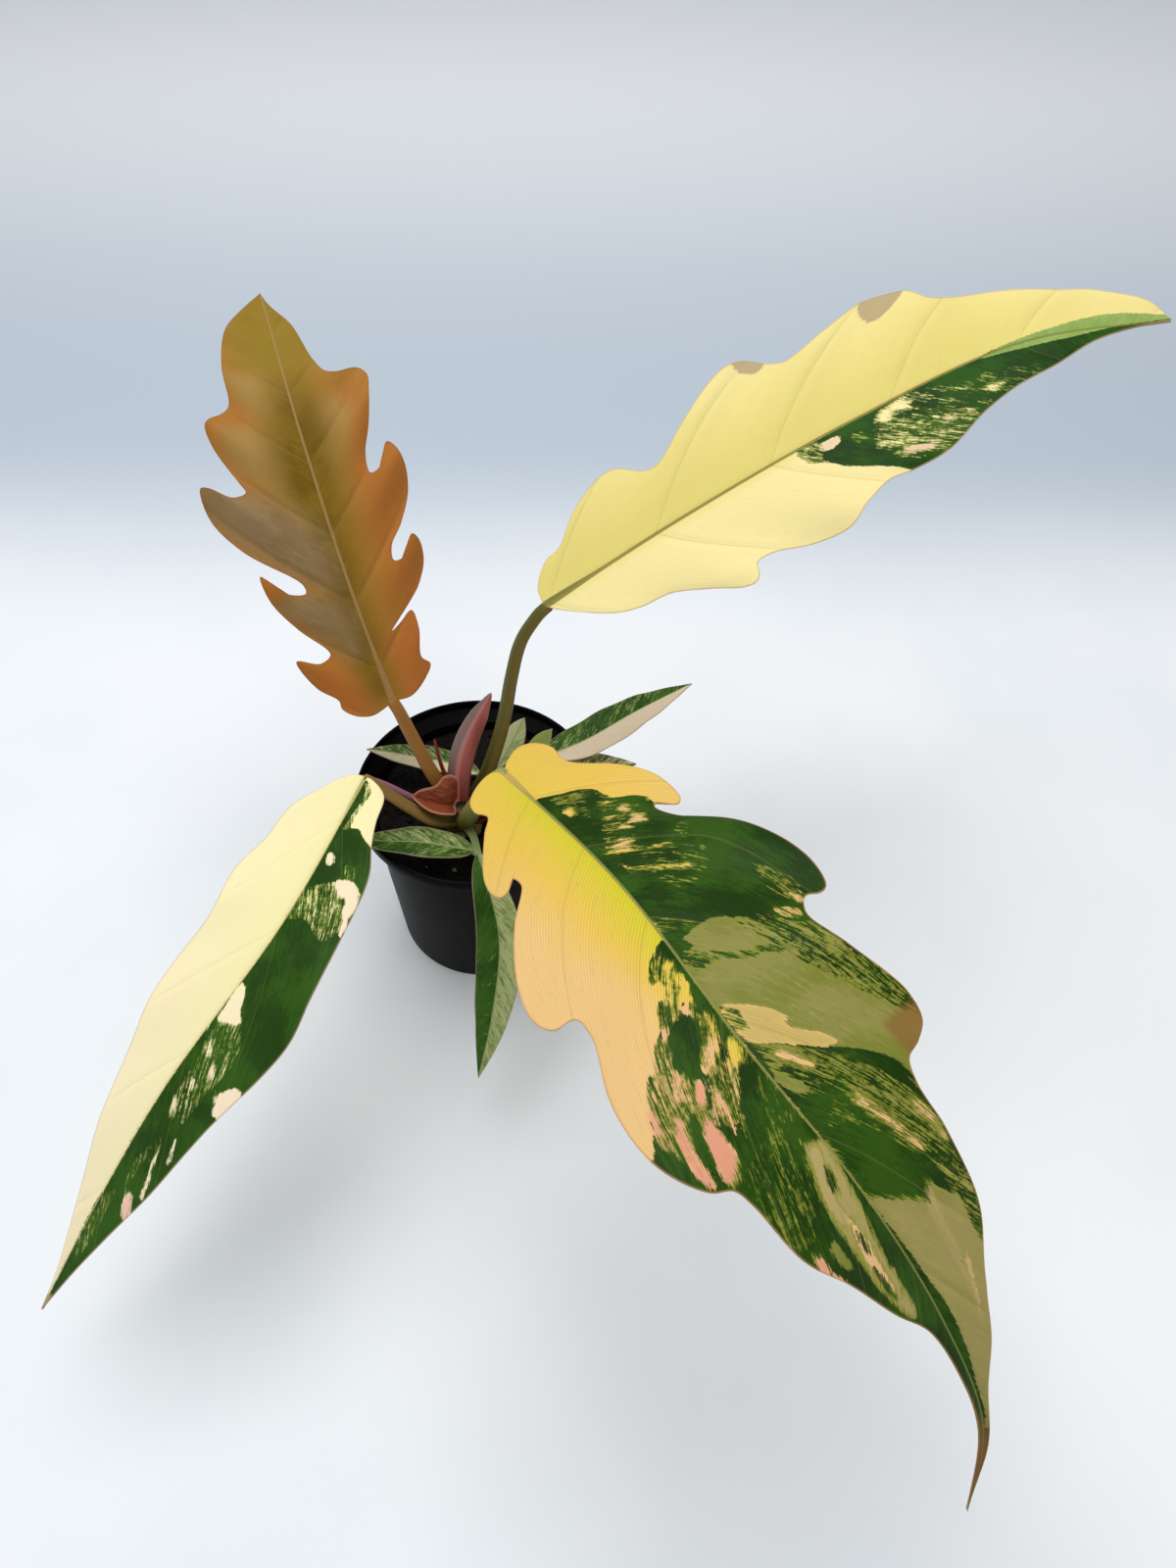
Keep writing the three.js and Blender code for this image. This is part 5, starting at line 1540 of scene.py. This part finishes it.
def makeSoil():
    lowRadius, topRadius = soilRadii()
    foot = (0, 0, soil["bottom"] * mm)
    deselect()
    bpy.ops.mesh.primitive_circle_add(
        vertices=soil["sides"], radius=lowRadius * mm, fill_type="NGON", location=foot)
    piece = bpy.context.active_object
    piece.name = "potting_mix"
    bpy.ops.object.transform_apply(location=True, rotation=True, scale=True)
    bpy.ops.object.mode_set(mode="EDIT")
    bpy.ops.mesh.select_all(action="SELECT")
    climb = (0, 0, (soil["level"] - soil["bottom"]) * mm)
    bpy.ops.mesh.extrude_region_move(TRANSFORM_OT_translate={"value": climb})
    share = topRadius / lowRadius
    bpy.ops.transform.resize(value=(share, share, 1), center_override=(0, 0, soil["level"] * mm))
    for i in range(soil["rings"]):
        bpy.ops.mesh.inset(thickness=topRadius / (soil["rings"] + 1) * mm, depth=0)
    bpy.ops.mesh.poke()
    finishEditing()
    for v in piece.data.vertices:
        if v.co.z > (soil["level"] - 1) * mm:
            v.co.z = soilHeight(v.co.x / mm, v.co.y / mm) * mm
    piece.data.materials.append(makeSoilMaterial())
    smooth(piece, 60)
    settle(piece, "soil")


# Crumbs are one low lump, modelled once and copied, each copy with its own turn and size
def makeCrumbs(name, count, sizes, material):
    deselect()
    bpy.ops.mesh.primitive_ico_sphere_add(subdivisions=1, radius=1)
    model = bpy.context.active_object
    for v in model.data.vertices:
        v.co *= 0.8 + 0.4 * random.random()
    copies = []
    for i in range(count):
        mesh = model.data.copy()
        angle = random.uniform(0, 2 * math.pi)
        away = (soilRadii()[1] - 2) * math.sqrt(random.random())
        x, y = away * math.cos(angle), away * math.sin(angle)
        size = random.uniform(*sizes)
        scale = Vector((size * random.uniform(0.7, 1.6), size * random.uniform(0.6, 1), size * 0.6)) * mm
        turn = Matrix.Rotation(random.uniform(0, 6.28), 4, "Z")
        turn = turn @ Matrix.Rotation(random.uniform(-0.5, 0.5), 4, "X")
        place = Matrix.Translation(Vector((x, y, soilHeight(x, y) + size * 0.2)) * mm)
        mesh.transform(place @ turn @ Matrix.Diagonal((*scale, 1)))
        copy = bpy.data.objects.new(name, mesh)
        bpy.context.collection.objects.link(copy)
        copies.append(copy)
    bpy.data.objects.remove(model)
    deselect()
    for copy in copies:
        copy.select_set(True)
    bpy.context.view_layer.objects.active = copies[0]
    bpy.ops.object.join()
    piece = bpy.context.active_object
    piece.name = name
    piece.data.materials.clear()
    piece.data.materials.append(material)
    smooth(piece, 40)
    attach(piece, "root")


def makePaleCrumbMaterial():
    made, tree, shader = newMaterial("paleCrumb")
    grains = cloud(tree, put(tree, "TexCoord").outputs["Object"], 900.0, 3.0)
    colour = wash(tree, ink(soil["paleShade"]), ramp(tree, grains, 0.3, 0.7), soil["pale"])
    feed(tree, shader["Base Color"], colour)
    shader["Roughness"].default_value = 0.85
    return made


# Stem: short and knobbly, with rings where old leaves stood
stem = {
    "foot": (-3, -12, 48), "top": (-4, -12, 83), "radii": (5, 6.6, 6.6, 6.1, 5.4, 4.2),
    "levels": (0, 0.3, 0.6, 0.75, 0.88, 1), "sides": 40, "steps": 60,
    "inks": ("#3A2E18", "#6A6230", "#5A4222", "#4A3A20"),
}


def makeStem():
    foot, top = np.array(stem["foot"], float), np.array(stem["top"], float)
    turns = ringTurns(stem["sides"])
    shares = np.linspace(0, 1, stem["steps"])
    rings = []
    for share in shares:
        radius = np.interp(share, stem["levels"], stem["radii"])
        knobs = 0.05 * np.sin(3 * turns + 5 * share) + 0.02 * np.sin(7 * turns)
        reach = radius * (1 + knobs + 0.03 * math.sin(58 * share))
        centre = foot + (top - foot) * share
        rings.append(centre + np.stack([reach * np.cos(turns), reach * np.sin(turns), 0 * turns], -1))
    bark = makeStalkMaterial("stemBark", stem["inks"], 0.6)
    settle(skinOf("short_stem", rings, bark, shares, turns / (2 * math.pi)), "stem")


# The rolled new leaf: a pointed lens, its outer edge lapped along the front
spear = {
    "course": [(-4.5, -11, 84), (-4.3, -4, 93), (-1.3, 3, 102), (7, 13, 115)],
    "width": 9, "depth": 6, "keel": 0.35, "lap": 0.35, "lapAt": 1.62, "lapReach": 0.35,
    "sides": 48, "steps": 70,
    "left": "#76625A", "right": "#A85A50", "foot": "#5E1C14", "fold": "#C07A70", "streak": "#8A4A44",
}


def makeNewLeafMaterial():
    made, tree, shader = newMaterial("newLeaf")
    along, around = readLayer(tree, "along")[:2]
    turn = calc(tree, "MULTIPLY", around, 2 * math.pi)
    facing = calc(tree, "COSINE", turn)
    front = calc(tree, "MULTIPLY", calc(tree, "SINE", turn), -1.0)
    fibres = vector(tree, calc(tree, "MULTIPLY", facing, 14.0), calc(tree, "MULTIPLY", along, 3.0), front)
    streaks = cloud(tree, fibres, 1.5, 3.0)
    side = ramp(tree, calc(tree, "MULTIPLY_ADD", streaks, 0.25, facing), -0.05, 0.4)
    colour = wash(tree, ink(spear["left"]), side, spear["right"])
    foot = ramp(tree, calc(tree, "MULTIPLY_ADD", streaks, 0.3, along), 0.65, 0.05)
    colour = wash(tree, colour, foot, spear["foot"])
    colour = wash(tree, colour, ramp(tree, front, 0.965, 1.0), spear["fold"], 0.5)
    colour = wash(tree, colour, ramp(tree, streaks, 0.4, 0.7), spear["streak"], 0.25)
    finishSurface(tree, shader, "newLeaf", colour, 0.42, streaks)
    return made


def makeNewLeaf():
    course = Course(spear["course"])
    turns = ringTurns(spear["sides"])
    across = unit(np.array([1, -0.15, 0]))
    shares = np.linspace(0, 1, spear["steps"] + 1)
    lapped = np.abs(turns - spear["lapAt"] * math.pi) < spear["lapReach"]
    front = np.maximum(0, -np.sin(turns))
    deep = spear["depth"] / 2 * (1 + spear["keel"] * front ** 3)
    rings = []
    for share in shares:
        centre, along = course.read(share * course.length)
        back = -unit(np.cross(across, along))
        side = -np.cross(along, back)
        swell = 0.42 + 0.58 * math.sin(math.pi * min(1, 0.18 + 0.8 * share))
        body = swell * min(1, math.sqrt(max(0, 1 - share)) * 2.1 + 0.03)
        lap = 1 + spear["lap"] / spear["width"] * lapped * math.sin(math.pi * share)
        wide = spear["width"] / 2 * body * np.cos(turns) * lap
        rings.append(centre + np.outer(wide, side) + np.outer(deep * body * np.sin(turns) * lap, back))
    piece = skinOf("rolled_new_leaf", rings, makeNewLeafMaterial(), shares, turns / (2 * math.pi))
    settle(piece, "new_leaf")


# Bract at the new leaf's foot, and a small dark scale beside the largest leaf's stalk
bracts = {
    "sheath": {
        "midrib": [(-6, -14, 84), (-13, -15.5, 87.5), (-21, -14.5, 90)],
        "roll": (25, 15), "fold": 0.9, "droop": 0.02, "sweep": 0.4, "step": 2.5, "rowStep": 0.4,
        "wave": {"height": 0.5, "length": 9, "left": 0, "right": 1, "reach": 6},
        "veins": {"left": (2, 0, 0), "right": (2, 0, 0)}, "quilt": 0.1, "inks": "small",
        "left": [(1, -4), (5, -5.5), (11, -4), (15, -1.5)],
        "right": [(-1, 5), (2, 8.5), (7, 8.5), (9.5, 5), (14, 2.5)],
        "piece": "bract", "finish": ("#9C5230", "#C08068", "#5E2214"),
    },
    "red_scale": {
        "midrib": [(1.5, -14, 75), (5, -16, 78.5), (8, -17, 83)],
        "roll": (0, 0), "fold": 0.6, "droop": 0.03, "sweep": 0.4, "step": 2.5, "rowStep": 0.35,
        "wave": {"height": 0, "length": 10, "left": 0, "right": 0, "reach": 4},
        "veins": {"left": (2, 0, 0), "right": (2, 0, 0)}, "quilt": 0.05, "inks": "small",
        "left": [(0.5, -2.5), (3, -3), (7, -1.5)],
        "right": [(0.5, 2.5), (3, 3), (7, 1.5)],
        "piece": "scale", "finish": ("#4A1414", "#6A2420", "#2A0A0A"),
    },
}


def makeBractMaterial(name, body, edge, inner):
    made, tree, shader = newMaterial(name)
    along, across, toMargin = readLayer(tree, "leafPlace")[:3]
    fibres = vector(tree, calc(tree, "MULTIPLY", along, 0.2), calc(tree, "MULTIPLY", across, 2.2), 0.0)
    fibres = cloud(tree, fibres, 1.2, 3.0)
    colour = wash(tree, ink(body), ramp(tree, fibres, 0.35, 0.7), inner)
    colour = wash(tree, colour, ramp(tree, along, 6.0, -1.0), inner)
    colour = wash(tree, colour, ramp(tree, toMargin, 1.2, 0.2), edge, 0.8)
    finishSurface(tree, shader, "bract", colour, calc(tree, "MULTIPLY_ADD", fibres, 0.2, 0.4), fibres)
    return made


# Slim stalks at the heart of the plant
slimStalks = {
    "pink_stalk": {
        "course": [(-7, -11, 77), (-14, -12.5, 82), (-21.5, -12.5, 87), (-28, -13, 93), (-34, -14, 99)],
        # the pink stalk's dark red foot ink is painted shade, where it runs in the shade by the crown
        "radii": (1.4, 0.9), "inks": ("#7A3A40", "#A0647A", "#B08098", "#8A4A60"),
    },
    "dried_tip": {
        "course": [(-5, -8, 80), (-10, -3, 88), (-12.5, 1, 95), (-13.5, 4, 100)],
        "radii": (1.1, 0.45), "inks": ("#4A1A0E", "#8A3018", "#9A4022", "#5A1E10"),
    },
}


# Floor: pale round the plant, greyer behind it as painted shade and white far back as painted light, with
# bounds in metres from the pot
floorLook = {
    "size": 8, "near": ("#F2F4F6", "#FAFBFC"), "middle": "#C2CCD6", "far": "#FFFFFF",
    "paintedShadeBounds": (0.16, 0.34), "paintedLightBounds": (0.36, 0.95), "roughness": 0.55,
}


def makeFloor():
    deselect()
    bpy.ops.mesh.primitive_plane_add(size=1, location=(0, 0, 0))
    floor = bpy.context.active_object
    floor.name = "floor"
    bpy.ops.transform.resize(value=(floorLook["size"], floorLook["size"], 1))
    bpy.ops.object.transform_apply(location=True, rotation=True, scale=True)
    made, tree, shader = newMaterial("paleFloor")
    spot = put(tree, "TexCoord").outputs["Object"]
    cloudy = ramp(tree, cloud(tree, spot, 6.0, 3.0), 0.3, 0.7)
    depth = put(tree, "SeparateXYZ", {0: spot}).outputs[1]
    near = wash(tree, ink(floorLook["near"][0]), cloudy, floorLook["near"][1])
    # painted shade on the floor behind the plant, giving way to painted light far back
    far = wash(tree, ink(floorLook["middle"]), ramp(tree, depth, *floorLook["paintedLightBounds"]), floorLook["far"])
    colour = blendInks(tree, ramp(tree, depth, *floorLook["paintedShadeBounds"]), near, far)
    feed(tree, shader["Base Color"], colour)
    shader["Roughness"].default_value = floorLook["roughness"]
    floor.data.materials.append(made)


makeCamera()
makeLights()
makeFloor()
print("camera, light and floor ready")

makePot()
makeSoil()
makeCrumbs("bark_crumbs", soil["crumbs"], soil["crumbSizes"], bpy.data.materials["pottingMix"])
makeCrumbs("pale_crumbs", soil["paleCrumbs"], soil["paleSizes"], makePaleCrumbMaterial())
makeStem()
print("pot, soil and stem made")

largeLeaves = {"caramel": caramelLeaf, "yellow": yellowLeaf, "marbled": marbledLeaf, "cream": creamLeaf}
for kind, leaf in largeLeaves.items():
    piece = makeBlade(kind + "_blade", leaf, makeLeafMaterial(kind))
    settle(piece, "blade_" + kind)
    finish = makeStalkMaterial("stalk_" + kind, stalks[kind]["inks"])
    piece = makeStalk(kind + "_stalk", stalks[kind], finish)
    settle(piece, "petiole_" + kind)
    print(kind, "leaf made:", len(leaf["marks"]), "marks")

smallMaterial = makeLeafMaterial("small")
smallStalk = makeStalkMaterial("stalk_small", smallForm["stalkInks"])
for name, facts in smallLeaves.items():
    makeSmallLeaf(name, facts, smallMaterial, smallStalk)
print("small leaves made:", len(smallLeaves))

makeNewLeaf()
for name, leaf in bracts.items():
    finish = makeBractMaterial(leaf["piece"], *leaf["finish"])
    settle(makeBlade(leaf["piece"], leaf, finish, columns=12, rib=0.4), name)
for name, stalk in slimStalks.items():
    finish = makeStalkMaterial(name + "_finish", stalk["inks"])
    piece = makeStalk(name.replace("_", "-"), stalk, finish, sides=14, spacing=0.8, runOn=0.0)
    settle(piece, name)
print("new leaf, bracts and slim stalks made")
